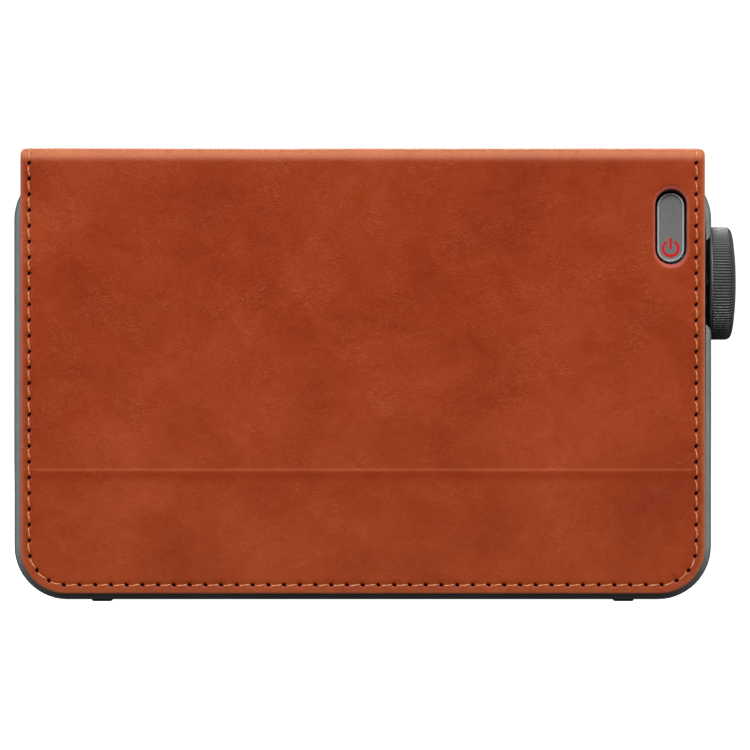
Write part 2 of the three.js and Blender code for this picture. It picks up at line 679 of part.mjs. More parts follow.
function addBatteries() {
  const half = CELL_LENGTH / 2;
  const nubRadius = 2.7;
  const nubLength = 1;
  const cell = [
    [0, -half],
    [CELL_RADIUS - 0.4, -half],
    [CELL_RADIUS, -half + 0.6],
    [CELL_RADIUS, half - nubLength - 0.6],
    [CELL_RADIUS - 0.4, half - nubLength],
    [nubRadius, half - nubLength],
    [nubRadius, half],
    [0, half],
  ];
  let number = 1;
  CELL_ROWS.forEach((z, row) => {
    [-1, 1].forEach((side) => {
      const geometry = turnedAlongX(cell, 0, 0, 12);
      if (row === 1) {
        geometry.rotateZ(Math.PI);
      }
      add(`battery_cell_${number}`, geometry.translate(side * CELL_X, CELL_Y, z), 'cell');
      number += 1;
    });
  });

  const plateThickness = 0.5;
  const springReach = 2;
  [['battery_contact_left', -1], ['battery_contact_right', 1]].forEach(([name, side]) => {
    const wall = side * (BAY_HALF_WIDTH - GAP);
    const face = wall - side * plateThickness;
    const tip = face - side * springReach;
    const plate = block(
      Math.min(wall, face), Math.max(wall, face), CELL_Y - 5, CELL_Y + 5, BAY_BOTTOM + 2, BAY_TOP - 2,
    );
    const springs = CELL_ROWS.map((z) => {
      const cone = new THREE.CylinderGeometry(2, 4, springReach + plateThickness / 2, 12);
      cone.rotateZ(side * Math.PI / 2);
      return cone.translate((tip + face + side * plateThickness / 2) / 2, CELL_Y, z);
    });
    add(name, join(plate, ...springs), 'steel');
  });

  add('battery_door', slab(
    roundedRectangle(-DOOR_HALF_WIDTH, DOOR_HALF_WIDTH, DOOR_BOTTOM, DOOR_TOP, KEY_CORNER),
    CASE_REAR - DOOR_THICKNESS, CASE_REAR, { segments: 3 },
  ), 'greyPlastic');
}

// ---------------------------------------------------------------- inside

function addInside() {
  const boardLeft = -10;
  const boardRight = 70.5;
  const boardBottom = 9;
  const boardTop = 97;
  add('main_board', block(
    boardLeft, boardRight, BOARD_FRONT, BOARD_FRONT + BOARD_THICKNESS, boardBottom, boardTop,
  ), 'board');

  const rodLeft = -58;
  const rodRight = 44;
  const coilLeft = -30;
  const coilRight = -8;
  const coilThickness = 0.8;
  const coilInner = FERRITE_RADIUS + GAP;
  const coilOuter = coilInner + coilThickness;
  add('ferrite_rod', rodAlongX(rodLeft, rodRight, FERRITE_Y, FERRITE_Z, FERRITE_RADIUS, 20), 'ferrite');
  add('ferrite_coil', turnedAlongX([
    [coilInner, coilLeft],
    [coilOuter, coilLeft],
    [coilOuter, coilRight],
    [coilInner, coilRight],
    [coilInner, coilLeft],
  ], FERRITE_Y, FERRITE_Z, 20), 'copper');
}

function addSockets() {
  const length = 12;
  const boreDepth = 9;
  Object.entries(SOCKETS).forEach(([name, z]) => {
    const barrel = rodAlongX(-CASE_SIDE, -CASE_SIDE + length, SOCKET_Y, z, SOCKET_RADIUS, 14);
    const bore = rodAlongX(-CASE_SIDE - BEYOND, -CASE_SIDE + boreDepth, SOCKET_Y, z, SOCKET_BORE, 12);
    add(name, cut(barrel, bore), 'darkPlastic');
  });
}

// ---------------------------------------------------------------- fastenings and feet

function addScrews() {
  const headTop = CASE_REAR - GAP;
  const headBottom = headTop - SCREW_HEAD_HEIGHT + GAP;
  const end = PANEL_BACK + 2;
  Object.entries(SCREWS).forEach(([name, [x, z]]) => {
    const screw = turnedAlongY([
      [0, end],
      [SCREW_RADIUS, end],
      [SCREW_RADIUS, headBottom],
      [SCREW_HEAD_RADIUS, headBottom],
      [SCREW_HEAD_RADIUS, headTop],
      [0, headTop],
    ], x, z, 12);
    add(name, screw, 'steel');
  });
}

function addFeet() {
  const taper = 0.3;
  const top = FOOT_HEIGHT + FOOT_SUNK;
  [['foot_left', -1], ['foot_right', 1]].forEach(([name, side]) => {
    const foot = block(
      side * FOOT_X - FOOT_WIDTH / 2, side * FOOT_X + FOOT_WIDTH / 2, FOOT_FRONT, FOOT_REAR, 0, top,
    );
    const position = foot.attributes.position;
    for (let index = 0; index < position.count; index += 1) {
      if (position.getZ(index) === 0) {
        const x = position.getX(index);
        position.setX(index, x - Math.sign(x - side * FOOT_X) * taper);
      }
    }
    add(name, foot, 'rubber');
  });
}

// ---------------------------------------------------------------- leather cover

function pillAcross(firstY, lastY, z) {
  const radius = LEATHER / 2;
  const shape = new THREE.Shape();
  shape.absarc(firstY, z, radius, Math.PI / 2, (3 * Math.PI) / 2);
  shape.absarc(lastY, z, radius, -Math.PI / 2, Math.PI / 2);
  shape.closePath();
  return shape;
}

function flapUpper() {
  const radius = LEATHER / 2;
  const top = SPINE_MID_Z - FOLD_GAP;
  const section = new THREE.Shape();
  section.moveTo(FLAP_MID_Y + radius, top);
  section.lineTo(FLAP_MID_Y - radius, top);
  section.absarc(FLAP_MID_Y, CREASE_Z, radius, Math.PI, 2 * Math.PI);
  section.closePath();
  const cutout = slab(
    pill(POWER_X, POWER_Z, CUTOUT_WIDTH, CUTOUT_HEIGHT), COVER_FRONT - BEYOND, CASE_FRONT, { segments: 8 },
  );
  return cut(strip(section, -COVER_HALF_WIDTH, COVER_HALF_WIDTH), cutout);
}

function backTab() {
  const outline = hangingPanel(TAB_HALF_WIDTH, TAB_BOTTOM_Z, SPINE_MID_Z - FOLD_GAP, TAB_CORNER);
  const front = TAB_MID_Y - LEATHER / 2;
  const rear = TAB_MID_Y + LEATHER / 2;
  const holes = [-1, 1].map((side) => rodAlongY(
    side * SNAP_X, front - BEYOND, rear + BEYOND, SNAP_Z, SNAP_POST_RADIUS + GAP, 12,
  ));
  return cut(slab(outline, front, rear), ...holes);
}

function addCover() {
  add('cover_spine', strip(
    pillAcross(FLAP_MID_Y, TAB_MID_Y, SPINE_MID_Z), -COVER_HALF_WIDTH, COVER_HALF_WIDTH,
  ), 'leather');
  add('cover_flap_upper', flapUpper(), 'leather');
  add('cover_flap_lower', slab(
    hangingPanel(COVER_HALF_WIDTH, FLAP_BOTTOM_Z, CREASE_Z - FOLD_GAP, FLAP_CORNER),
    COVER_FRONT, COVER_FRONT + LEATHER, { segments: 8 },
  ), 'leather');
  add('cover_back_tab', backTab(), 'leather');
}

function addSnaps() {
  const tabRear = TAB_MID_Y + LEATHER / 2;
  const capFront = tabRear + GAP;
  const capRear = capFront + SNAP_CAP_THICKNESS;
  const postEnd = TAB_MID_Y - LEATHER / 2 + GAP;
  const studRear = STEP_Y + GAP / 3;
  const studFront = STEP_Y - FACE_WALL - GAP;
  [['left', -1], ['right', 1]].forEach(([label, side]) => {
    const cap = turnedAlongY([
      [0, postEnd],
      [SNAP_POST_RADIUS, postEnd],
      [SNAP_POST_RADIUS, capFront],
      [SNAP_CAP_RADIUS, capFront],
      [SNAP_CAP_RADIUS * 0.9, capFront + SNAP_CAP_THICKNESS * 0.6],
      [SNAP_CAP_RADIUS * 0.55, capRear],
      [0, capRear],
    ], side * SNAP_X, SNAP_Z, 16);
    add(`snap_cap_${label}`, cap, 'chrome');
    add(`snap_stud_${label}`, rodAlongY(
      side * SNAP_X, studFront, studRear, SNAP_Z, SNAP_STUD_RADIUS, 12,
    ), 'steel');
  });
}

// ---------------------------------------------------------------- the radio

add('front_case', frontCase(), 'greyPlastic');
add('rear_case', rearCase(), 'greyPlastic');
addDisplay();
addSpeaker();
addKeypad();
addPowerButton();
addTuning();
addAntenna();
addBatteries();
addInside();
addSockets();
addScrews();
addFeet();
addCover();
addSnaps();

radio.position.set(
  -(KNOB_END - CASE_SIDE) / 2,
  -(COVER_FRONT + CASE_REAR) / 2,
  0,
);

export default radio;
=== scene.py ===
import json
import math

import bmesh
import bpy
import numpy as np
from mathutils import Matrix, Vector, noise
from mathutils.geometry import delaunay_2d_cdt


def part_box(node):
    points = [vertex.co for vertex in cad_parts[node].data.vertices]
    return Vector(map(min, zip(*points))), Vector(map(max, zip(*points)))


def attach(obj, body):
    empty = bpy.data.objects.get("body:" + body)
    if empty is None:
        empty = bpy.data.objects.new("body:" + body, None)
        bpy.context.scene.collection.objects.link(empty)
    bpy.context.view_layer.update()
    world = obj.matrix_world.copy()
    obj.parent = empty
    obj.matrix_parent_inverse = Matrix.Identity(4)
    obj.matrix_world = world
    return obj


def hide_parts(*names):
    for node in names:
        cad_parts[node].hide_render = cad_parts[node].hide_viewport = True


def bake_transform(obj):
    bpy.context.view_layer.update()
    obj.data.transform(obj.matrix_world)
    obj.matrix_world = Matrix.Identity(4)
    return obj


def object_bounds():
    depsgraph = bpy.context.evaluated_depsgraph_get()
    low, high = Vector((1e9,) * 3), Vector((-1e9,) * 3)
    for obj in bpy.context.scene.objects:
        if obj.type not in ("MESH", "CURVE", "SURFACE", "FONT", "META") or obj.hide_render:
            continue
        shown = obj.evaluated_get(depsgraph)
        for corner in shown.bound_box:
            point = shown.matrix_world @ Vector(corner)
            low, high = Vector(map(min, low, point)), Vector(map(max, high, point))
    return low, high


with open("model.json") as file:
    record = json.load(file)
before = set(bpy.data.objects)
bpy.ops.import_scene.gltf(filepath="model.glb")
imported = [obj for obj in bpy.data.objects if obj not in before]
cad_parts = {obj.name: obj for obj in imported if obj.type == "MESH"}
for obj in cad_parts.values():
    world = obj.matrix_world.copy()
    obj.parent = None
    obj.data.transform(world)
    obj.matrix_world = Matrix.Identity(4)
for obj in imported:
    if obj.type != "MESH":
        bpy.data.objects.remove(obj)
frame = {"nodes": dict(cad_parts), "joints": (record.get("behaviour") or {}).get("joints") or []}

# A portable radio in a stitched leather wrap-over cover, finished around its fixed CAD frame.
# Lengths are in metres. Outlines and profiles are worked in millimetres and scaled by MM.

MM = 0.001
CAD_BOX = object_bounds()

# ------------------------------------------------------------------ camera

VIEW_WIDTH = 0.18            # what the picture's width spans at the cover's front
CAMERA_DISTANCE = 1.3        # from the camera to that plane
CAMERA_ASIDE = 0.00024       # how far the camera stands to the left of the middle
SENSOR = 36.0


def make_camera():
    low, high = CAD_BOX
    data = bpy.data.cameras.new("camera")
    data.sensor_width = SENSOR
    data.lens = SENSOR * CAMERA_DISTANCE / VIEW_WIDTH
    data.clip_start = 0.01
    data.clip_end = 20
    camera = bpy.data.objects.new("camera", data)
    camera.location = ((low.x + high.x) / 2 - CAMERA_ASIDE, low.y - CAMERA_DISTANCE, (low.z + high.z) / 2)
    camera.rotation_euler = (math.pi / 2, 0, 0)
    bpy.context.scene.collection.objects.link(camera)
    bpy.context.scene.camera = camera


make_camera()

# ------------------------------------------------------------------ places, from the frame


def box_mm(node):
    low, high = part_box(node)
    return low / MM, high / MM


def middle_mm(node):
    low, high = box_mm(node)
    return (low + high) / 2


FRONT_LOW, FRONT_HIGH = box_mm("front_case")
REAR_LOW, REAR_HIGH = box_mm("rear_case")
FLAP_LOW, FLAP_HIGH = box_mm("cover_flap_upper")
CASE_X = (FRONT_LOW.x + FRONT_HIGH.x) / 2
CASE_HALF = (FRONT_HIGH.x - FRONT_LOW.x) / 2
CASE_FRONT = FRONT_LOW.y
CASE_REAR = REAR_HIGH.y
CASE_BOTTOM = FRONT_LOW.z
CASE_TOP = FRONT_HIGH.z
CASE_CORNER = 12.8
CASE_EDGE = 2.6
PANEL_BACK = CASE_FRONT + 2
POWER = middle_mm("power_button")
POWER_WIDTH = 6.5
POWER_HEIGHT = 16.75
JOINTS = {joint["name"]: joint for joint in frame["joints"]}
LEATHER = FLAP_HIGH.y - FLAP_LOW.y
COVER_HALF = (FLAP_HIGH.x - FLAP_LOW.x) / 2
COVER_X = (FLAP_HIGH.x + FLAP_LOW.x) / 2
FRONT_Y = (FLAP_LOW.y + FLAP_HIGH.y) / 2
SPINE_Z = middle_mm("cover_spine").z
TAB_LOW, TAB_HIGH = box_mm("cover_back_tab")
TAB_Y = (TAB_LOW.y + TAB_HIGH.y) / 2
TAB_HALF = (TAB_HIGH.x - TAB_LOW.x) / 2
FLAP_BOTTOM = box_mm("cover_flap_lower")[0].z
CREASE_Z = JOINTS["flap_crease"]["pos_m"][2] / MM
BEND = 2.2                   # radius of the leather's middle where it turns over the top
FLAP_CORNER = 11.0
SPINE_CORNER = 4.0
TAB_FILLET = 3.0
TAB_CORNER = 5.0
STITCH_INSET = 2.17
STITCH_PITCH = 3.78
STITCH_GROOVE = 0.16
CREASE_INSET = 3.4           # where the fold line stops short of the edge
BEND_TUCK = 1.1              # how far the edges draw in over the top
THREAD_RADIUS = 0.2
BEND_MARGIN = 1.4            # how far the close rows run past a bend
CREASE_MARGIN = 3

TAB_RISE = SPINE_Z - BEND - TAB_LOW.z
TURN = math.pi * BEND / 2
SPINE_RUN = TAB_Y - FRONT_Y - 2 * BEND
FLAP_RUN = SPINE_Z - BEND - FLAP_BOTTOM
SPINE_START = TAB_RISE + TURN
FLAP_TURN_START = SPINE_START + SPINE_RUN
FLAP_START = FLAP_TURN_START + TURN
LENGTH = FLAP_START + FLAP_RUN
SHOULDER = TAB_RISE - 1.0    # where the narrow tab widens to the spine
CREASE = FLAP_START + SPINE_Z - BEND - CREASE_Z

# ------------------------------------------------------------------ node materials


def linear(*levels):
    """sRGB levels from 0 to 255 as a linear colour."""
    def one(level):
        share = level / 255
        return share / 12.92 if share <= 0.04045 else ((share + 0.055) / 1.055) ** 2.4
    return (*[one(level) for level in levels], 1.0)


class Nodes:
    """A short way to build one node material."""

    def __init__(self, name, roughness=0.5, metallic=0.0, specular=0.5):
        self.material = bpy.data.materials.new(name)
        self.material.use_nodes = True
        self.tree = self.material.node_tree
        self.shader = self.tree.nodes["Principled BSDF"]
        self.shader.inputs["Roughness"].default_value = roughness
        self.shader.inputs["Metallic"].default_value = metallic
        self.shader.inputs["Specular IOR Level"].default_value = specular

    def node(self, kind, **settings):
        made = self.tree.nodes.new(kind)
        for key, value in settings.items():
            setattr(made, key, value)
        return made

    def link(self, source, target):
        self.tree.links.new(source, target)

    def attribute(self, name):
        return self.node("ShaderNodeAttribute", attribute_name=name)

    def coordinates(self):
        return self.node("ShaderNodeTexCoord").outputs["Object"]

    def noise(self, where, scale, detail=4.0, rough=0.55, distortion=0.0):
        made = self.node("ShaderNodeTexNoise")
        made.inputs["Scale"].default_value = scale
        made.inputs["Detail"].default_value = detail
        made.inputs["Roughness"].default_value = rough
        made.inputs["Distortion"].default_value = distortion
        self.link(where, made.inputs["Vector"])
        return made.outputs["Fac"]

    def cells(self, where, scale, feature="F1"):
        made = self.node("ShaderNodeTexVoronoi", feature=feature)
        made.inputs["Scale"].default_value = scale
        self.link(where, made.inputs["Vector"])
        return made.outputs["Distance"]

    def ramp(self, value, *stops):
        made = self.node("ShaderNodeValToRGB")
        elements = made.color_ramp.elements
        while len(elements) < len(stops):
            elements.new(0.5)
        for element, (position, colour) in zip(elements, stops):
            element.position = position
            element.color = colour if len(colour) == 4 else (*colour, 1.0)
        self.link(value, made.inputs["Fac"])
        return made.outputs["Color"]

    def span(self, value, low, high, out_low, out_high):
        made = self.node("ShaderNodeMapRange")
        for key, number in zip(("From Min", "From Max", "To Min", "To Max"), (low, high, out_low, out_high)):
            made.inputs[key].default_value = number
        self.link(value, made.inputs["Value"])
        return made.outputs["Result"]

    def maths(self, operation, first, second):
        made = self.node("ShaderNodeMath", operation=operation)
        for socket, source in zip(made.inputs, (first, second)):
            if isinstance(source, (int, float)):
                socket.default_value = source
            else:
                self.link(source, socket)
        return made.outputs["Value"]

    def mix(self, factor, first, second, blend="MIX"):
        made = self.node("ShaderNodeMix", data_type="RGBA", blend_type=blend)
        for socket, source in zip((made.inputs[0], made.inputs[6], made.inputs[7]), (factor, first, second)):
            if isinstance(source, (int, float, tuple)):
                socket.default_value = source
            else:
                self.link(source, socket)
        return made.outputs[2]

    def bump(self, height, distance, strength=1.0, under=None):
        made = self.node("ShaderNodeBump")
        made.inputs["Strength"].default_value = strength
        made.inputs["Distance"].default_value = distance
        self.link(height, made.inputs["Height"])
        if under is not None:
            self.link(under, made.inputs["Normal"])
        return made.outputs["Normal"]

    def finish(self, colour=None, roughness=None, normal=None):
        for source, name in ((colour, "Base Color"), (roughness, "Roughness"), (normal, "Normal")):
            if source is not None:
                self.link(source, self.shader.inputs[name])
        return self.material


def leather_material(name, dark, middle, light, worn_and_lit, roughness=0.5, specular=0.3):
    """Smooth waxed leather: mottled, with short wrinkles aslant in patches, and lighter at the bends. The
    lighter bends are partly the leather's own pull-up lightening and partly a painted highlight; the band
    below the fold line carries painted shade, and the lower panel a painted sheen.
    """
    n = Nodes(name, roughness, specular=specular)
    where = n.attribute("rest").outputs["Vector"]
    # this vertex attribute holds real edge wear together with a painted highlight at the top bend and fold;
    # its negative values are painted shade below the fold
    wear = n.attribute("wear").outputs["Fac"]
    cloud = n.noise(where, 30, 5, 0.58, 0.5)
    patch = n.noise(where, 120, 5, 0.65, 1.2)
    drift = n.node("ShaderNodeTexNoise")
    drift.inputs["Scale"].default_value = 70
    drift.inputs["Detail"].default_value = 3
    n.link(where, drift.inputs["Vector"])
    bent = n.node("ShaderNodeVectorMath", operation="MULTIPLY_ADD")
    bent.inputs[1].default_value = (0.012, 0.012, 0.012)
    n.link(drift.outputs["Color"], bent.inputs[0])
    n.link(where, bent.inputs[2])
    strokes = []
    for turn, narrow in ((0.85, 3000), (-0.6, 2500)):
        aslant = n.node("ShaderNodeMapping")
        aslant.inputs["Rotation"].default_value = (0, 0, turn)
        aslant.inputs["Scale"].default_value = (0.32, 1, 1)
        n.link(bent.outputs["Vector"], aslant.inputs["Vector"])
        strokes.append(n.noise(aslant.outputs["Vector"], narrow, 2, 0.6, 0.3))
    chosen = n.span(n.noise(where, 55, 2), 0.46, 0.56, 0, 1)
    stroke = n.maths("ADD", n.maths("MULTIPLY", strokes[0], n.maths("SUBTRACT", 1.0, chosen)),
                     n.maths("MULTIPLY", strokes[1], chosen))
    parts = n.node("ShaderNodeSeparateXYZ")
    n.link(where, parts.inputs["Vector"])
    lower = n.span(parts.outputs["Y"], FLAP_START * MM, LENGTH * MM, 0, 1)
    wrinkled = n.span(n.noise(where, 85, 4, 0.6, 0.8), 0.46, 0.66, 0.15, 1.0)
    wrinkled = n.maths("MULTIPLY", wrinkled, n.span(lower, 0.35, 1.0, 1.0, 0.5))
    ridge = n.maths("MULTIPLY", n.span(stroke, 0.5, 0.68, 0, 1), wrinkled)
    tone = n.maths("ADD", n.maths("MULTIPLY", cloud, 0.75), n.maths("MULTIPLY", patch, 0.25))
    colour = n.ramp(tone, (0.34, dark), (0.5, middle), (0.66, light))
    raised = n.mix(0.45, light, worn_and_lit)
    colour = n.mix(n.maths("MULTIPLY", ridge, 0.42), colour, raised)
    colour = n.mix(n.span(stroke, 0.5, 0.3, 0, 0.35), colour, dark)
    # painted sheen: the lower panel is drawn a little towards the lighter colour
    colour = n.mix(n.span(lower, 0.3, 1.0, 0, 0.08), colour, worn_and_lit)
    # lighter rubbed edges and bends; at the top bend and the fold this is partly a painted highlight
    ragged = n.span(n.maths("ADD", patch, n.maths("MULTIPLY", stroke, 0.7)), 0.65, 1.0, -0.22, 0.22)
    lifted = n.span(n.maths("ADD", wear, n.maths("MULTIPLY", ragged, wear)), 0, 1, 0, 1)
    colour = n.mix(lifted, colour, worn_and_lit)
    # painted shade: negative values darken the band below the fold line
    colour = n.mix(n.span(wear, 0, -0.5, 0, 0.6), colour, dark)
    pores = n.cells(where, 3000)
    fine = n.bump(n.span(pores, 0.0, 0.45, 0.0, 1.0), 0.00004, 0.45)
    grain = n.bump(n.maths("MULTIPLY", stroke, wrinkled), 0.00011, 0.65, fine)
    broad = n.bump(patch, 0.0004, 0.3, grain)
    gloss = n.maths("ADD", n.maths("MULTIPLY", patch, 0.6), n.maths("MULTIPLY", stroke, 0.4))
    return n.finish(colour, n.span(gloss, 0.35, 0.65, roughness - 0.09, roughness + 0.1), broad)


def plastic_material(name, dark, light, roughness=0.5, grain=5200, depth=0.00002, specular=0.4):
    """Moulded plastic: spark-eroded texture and a slight change of tone."""
    n = Nodes(name, roughness, specular=specular)
    where = n.coordinates()
    cloud = n.noise(where, 55, 4, 0.6)
    fine = n.noise(where, grain, 3, 0.7)
    tone = n.maths("ADD", n.maths("MULTIPLY", cloud, 0.65), n.maths("MULTIPLY", fine, 0.35))
    colour = n.ramp(tone, (0.36, dark), (0.64, light))
    rough = n.span(n.noise(where, 240, 4, 0.6), 0.3, 0.7, roughness - 0.06, roughness + 0.08)
    return n.finish(colour, rough, n.bump(fine, depth, 0.6))


def metal_material(name, dark, light, roughness=0.2, stretch=(0.03, 1, 1), grain=2200):
    """Plated or turned metal, with fine lines along the piece and faint handling marks."""
    n = Nodes(name, roughness, metallic=1.0)
    mapping = n.node("ShaderNodeMapping")
    mapping.inputs["Scale"].default_value = stretch
    n.link(n.coordinates(), mapping.inputs["Vector"])
    lines = n.noise(mapping.outputs["Vector"], grain, 4, 0.7)
    smear = n.noise(n.coordinates(), 130, 5, 0.65)
    colour = n.ramp(n.maths("ADD", n.maths("MULTIPLY", lines, 0.5), n.maths("MULTIPLY", smear, 0.5)),
                    (0.35, dark), (0.65, light))
    rough = n.span(smear, 0.3, 0.75, roughness * 0.7, roughness * 1.7)
    return n.finish(colour, rough, n.bump(lines, 0.000008, 0.35))


def thread_material():
    n = Nodes("linen_thread", 0.62, specular=0.3)
    where = n.attribute("rest").outputs["Vector"]
    twist = n.node("ShaderNodeTexWave", wave_type="BANDS", bands_direction="DIAGONAL")
    twist.inputs["Scale"].default_value = 420
    twist.inputs["Distortion"].default_value = 1.2
    n.link(where, twist.inputs["Vector"])
    hairs = n.noise(where, 3200, 3, 0.7)
    tone = n.maths("ADD", n.maths("MULTIPLY", twist.outputs["Fac"], 0.6), n.maths("MULTIPLY", hairs, 0.4))
    colour = n.ramp(
        tone, (0.1, linear(148, 86, 50)), (0.5, linear(168, 106, 66)), (0.9, linear(182, 124, 84)))
    return n.finish(colour, None, n.bump(twist.outputs["Fac"], 0.00003, 0.6))


def glass_material():
    n = Nodes("display_glass", 0.06, specular=0.5)
    n.shader.inputs["Transmission Weight"].default_value = 0.92
    n.shader.inputs["IOR"].default_value = 1.46
    n.shader.inputs["Coat Weight"].default_value = 0.4
    where = n.coordinates()
    smear = n.noise(where, 90, 5, 0.65)
    colour = n.ramp(smear, (0.3, linear(214, 222, 220)), (0.7, linear(236, 240, 238)))
    return n.finish(colour, n.span(smear, 0.3, 0.8, 0.03, 0.12))


MATERIAL = {
    # Each leather's fourth colour is its lighter worn colour; on the cover it also serves as a painted
    # highlight at the top bend and fold and as a painted sheen on the lower panel.
    "leather": leather_material(
        "cover_leather", linear(113, 32, 1), linear(127, 42, 5), linear(138, 52, 20), linear(158, 98, 66),
        0.5, 0.12),
    "edge": leather_material(
        "leather_edge", linear(138, 62, 36), linear(154, 75, 47), linear(168, 90, 63), linear(176, 102, 75),
        0.45, 0.2),
    "cut": leather_material(
        "leather_cut", linear(132, 56, 46), linear(143, 63, 53), linear(153, 72, 61), linear(156, 76, 65),
        0.6, 0.08),
    "lining": leather_material(
        "leather_lining", linear(112, 66, 40), linear(132, 80, 50), linear(150, 95, 62), linear(158, 104, 72),
        0.8, 0.15),
    # pit: near-black for the insides of the stitch holes, painted shade
    "pit": plastic_material("stitch_hole_shade", linear(14, 5, 3), linear(30, 10, 6), 0.9, specular=0.05),
    "thread": thread_material(),
    "case": plastic_material("case_grey", linear(82, 87, 87), linear(96, 101, 102), 0.46),
    "case_rear": plastic_material("case_grey_rear", linear(80, 85, 85), linear(94, 99, 100), 0.48),
    "pocket": plastic_material("pocket_black", linear(7, 8, 8), linear(15, 16, 16), 0.55),
    "dark": plastic_material("dark_plastic", linear(24, 25, 26), linear(36, 37, 38), 0.55),
    "knob": plastic_material("knob_grey", linear(58, 61, 59), linear(70, 73, 71), 0.46),
    "button": plastic_material("button_grey", linear(90, 90, 90), linear(100, 100, 100), 0.5),
    # rim: a lighter grey for the power button's rounded edge, a painted highlight
    "rim": plastic_material("button_rim_highlight", linear(156, 159, 160), linear(168, 171, 172), 0.4),
    "red": plastic_material("symbol_red", linear(182, 6, 10), linear(192, 10, 14), 0.5, specular=0.15),
    "key": plastic_material("key_grey", linear(56, 58, 61), linear(70, 72, 75), 0.55),
    "print": plastic_material("pale_print", linear(205, 207, 205), linear(226, 228, 226), 0.6),
    "foot": plastic_material("foot_rubber", linear(30, 29, 27), linear(44, 43, 40), 0.8, 3000, 0.00004, 0.2),
    "board": plastic_material("board_green", linear(18, 70, 40), linear(32, 96, 56), 0.4, 900),
    "lcd": plastic_material("lcd_panel", linear(136, 146, 122), linear(150, 160, 134), 0.3),
    "segment": plastic_material("lcd_segment", linear(28, 34, 30), linear(40, 46, 40), 0.35),
    "paper": plastic_material("cone_paper", linear(26, 26, 28), linear(42, 42, 44), 0.9, 1500, 0.00008, 0.1),
    "cell": plastic_material("cell_wrap", linear(40, 46, 56), linear(60, 66, 76), 0.3),
    "ferrite": plastic_material("ferrite", linear(38, 36, 33), linear(58, 55, 50), 0.7, 1800, 0.00005),
    "chrome": metal_material("antenna_chrome", linear(166, 168, 171), linear(196, 198, 201), 0.2),
    "steel": metal_material("plain_steel", linear(150, 152, 156), linear(196, 198, 202), 0.3, (1, 0.05, 1)),
    "copper": metal_material(
        "copper_wire", linear(160, 84, 48), linear(206, 122, 76), 0.3, (1, 0.05, 0.05), 900),
    "glass": glass_material(),
}

# ------------------------------------------------------------------ meshes


def make_object(name, vertices, faces, materials, face_materials=None, attributes=None, smooth=True):
    mesh = bpy.data.meshes.new(name)
    mesh.from_pydata([tuple(v) for v in vertices], [], [tuple(f) for f in faces])
    for material in materials:
        mesh.materials.append(material)
    if face_materials is not None:
        mesh.polygons.foreach_set("material_index", np.asarray(face_materials, np.int32))
    mesh.polygons.foreach_set("use_smooth", [smooth] * len(mesh.polygons))
    for key, values in (attributes or {}).items():
        values = np.asarray(values, np.float32)
        kind = "FLOAT_VECTOR" if values.ndim == 2 else "FLOAT"
        layer = mesh.attributes.new(key, kind, "POINT")
        layer.data.foreach_set("vector" if values.ndim == 2 else "value", values.ravel())
    mesh.update()
    made = bpy.data.objects.new(name, mesh)
    bpy.context.scene.collection.objects.link(made)
    return made


def bake_modifiers(made):
    """Turns the evaluated shape into the object's own mesh."""
    depsgraph = bpy.context.evaluated_depsgraph_get()
    depsgraph.update()
    mesh = bpy.data.meshes.new_from_object(made.evaluated_get(depsgraph), depsgraph=depsgraph)
    made.modifiers.clear()
    old = made.data
    made.data = mesh
    bpy.data.meshes.remove(old)
    return made


def cut(made, tools, operation="DIFFERENCE"):
    for tool in tools:
        modifier = made.modifiers.new("cut", "BOOLEAN")
        modifier.operation = operation
        modifier.solver = "EXACT"
        modifier.object = tool
        bake_modifiers(made)
        mesh = tool.data
        bpy.data.objects.remove(tool)
        bpy.data.meshes.remove(mesh)
    return made


def soften(made, width, segments=2, angle=38):
    """Rounds the hard edges and shades the rest smooth."""
    modifier = made.modifiers.new("soften", "BEVEL")
    modifier.width = width * MM
    modifier.segments = segments
    modifier.limit_method = "ANGLE"
    modifier.angle_limit = math.radians(angle)
    modifier.use_clamp_overlap = True
    bake_modifiers(made)
    made.data.polygons.foreach_set("use_smooth", [True] * len(made.data.polygons))
    made.data.set_sharp_from_angle(angle=math.radians(angle))
    modifier = made.modifiers.new("level", "WEIGHTED_NORMAL")
    modifier.weight = 100
    modifier.keep_sharp = True
    return bake_modifiers(made)


def arc(cx, cy, radius, start, end, steps):
    """Points on an arc, angles in degrees, both ends included."""
    turns = np.radians(np.linspace(start, end, steps + 1))
    return [(cx + radius * math.cos(t), cy + radius * math.sin(t)) for t in turns]


def rounded_rectangle(left, right, bottom, top, radius, steps=8):
    return (arc(right - radius, bottom + radius, radius, -90, 0, steps)
            + arc(right - radius, top - radius, radius, 0, 90, steps)
            + arc(left + radius, top - radius, radius, 90, 180, steps)
            + arc(left + radius, bottom + radius, radius, 180, 270, steps))


def inset_outline(left, right, bottom, top, radius, steps):
    """A function that gives the rounded rectangle at any inset from its edge."""
    return lambda inset: rounded_rectangle(
        left + inset, right - inset, bottom + inset, top - inset, radius, steps)


def pill(x, z, width, height, steps=20):
    radius = width / 2
    rise = (height - width) / 2
    return arc(x, z + rise, radius, 0, 180, steps) + arc(x, z - rise, radius, 180, 360, steps)


def stack(name, rings, materials, face_materials=None, smooth=True):
    """A closed solid from rings of equal length, in millimetres, capped at both ends."""
    count = len(rings[0])
    vertices = [Vector(point) * MM for ring in rings for point in ring]
    faces = [tuple(reversed(range(count)))]
    for level in range(len(rings) - 1):
        base = level * count
        for i in range(count):
            j = (i + 1) % count
            faces.append((base + i, base + j, base + count + j, base + count + i))
    faces.append(tuple(range((len(rings) - 1) * count, len(rings) * count)))
    made = make_object(name, vertices, faces, materials, face_materials, smooth=smooth)
    editable = bmesh.new()
    editable.from_mesh(made.data)
    bmesh.ops.recalc_face_normals(editable, faces=editable.faces)
    editable.to_mesh(made.data)
    editable.free()
    return made


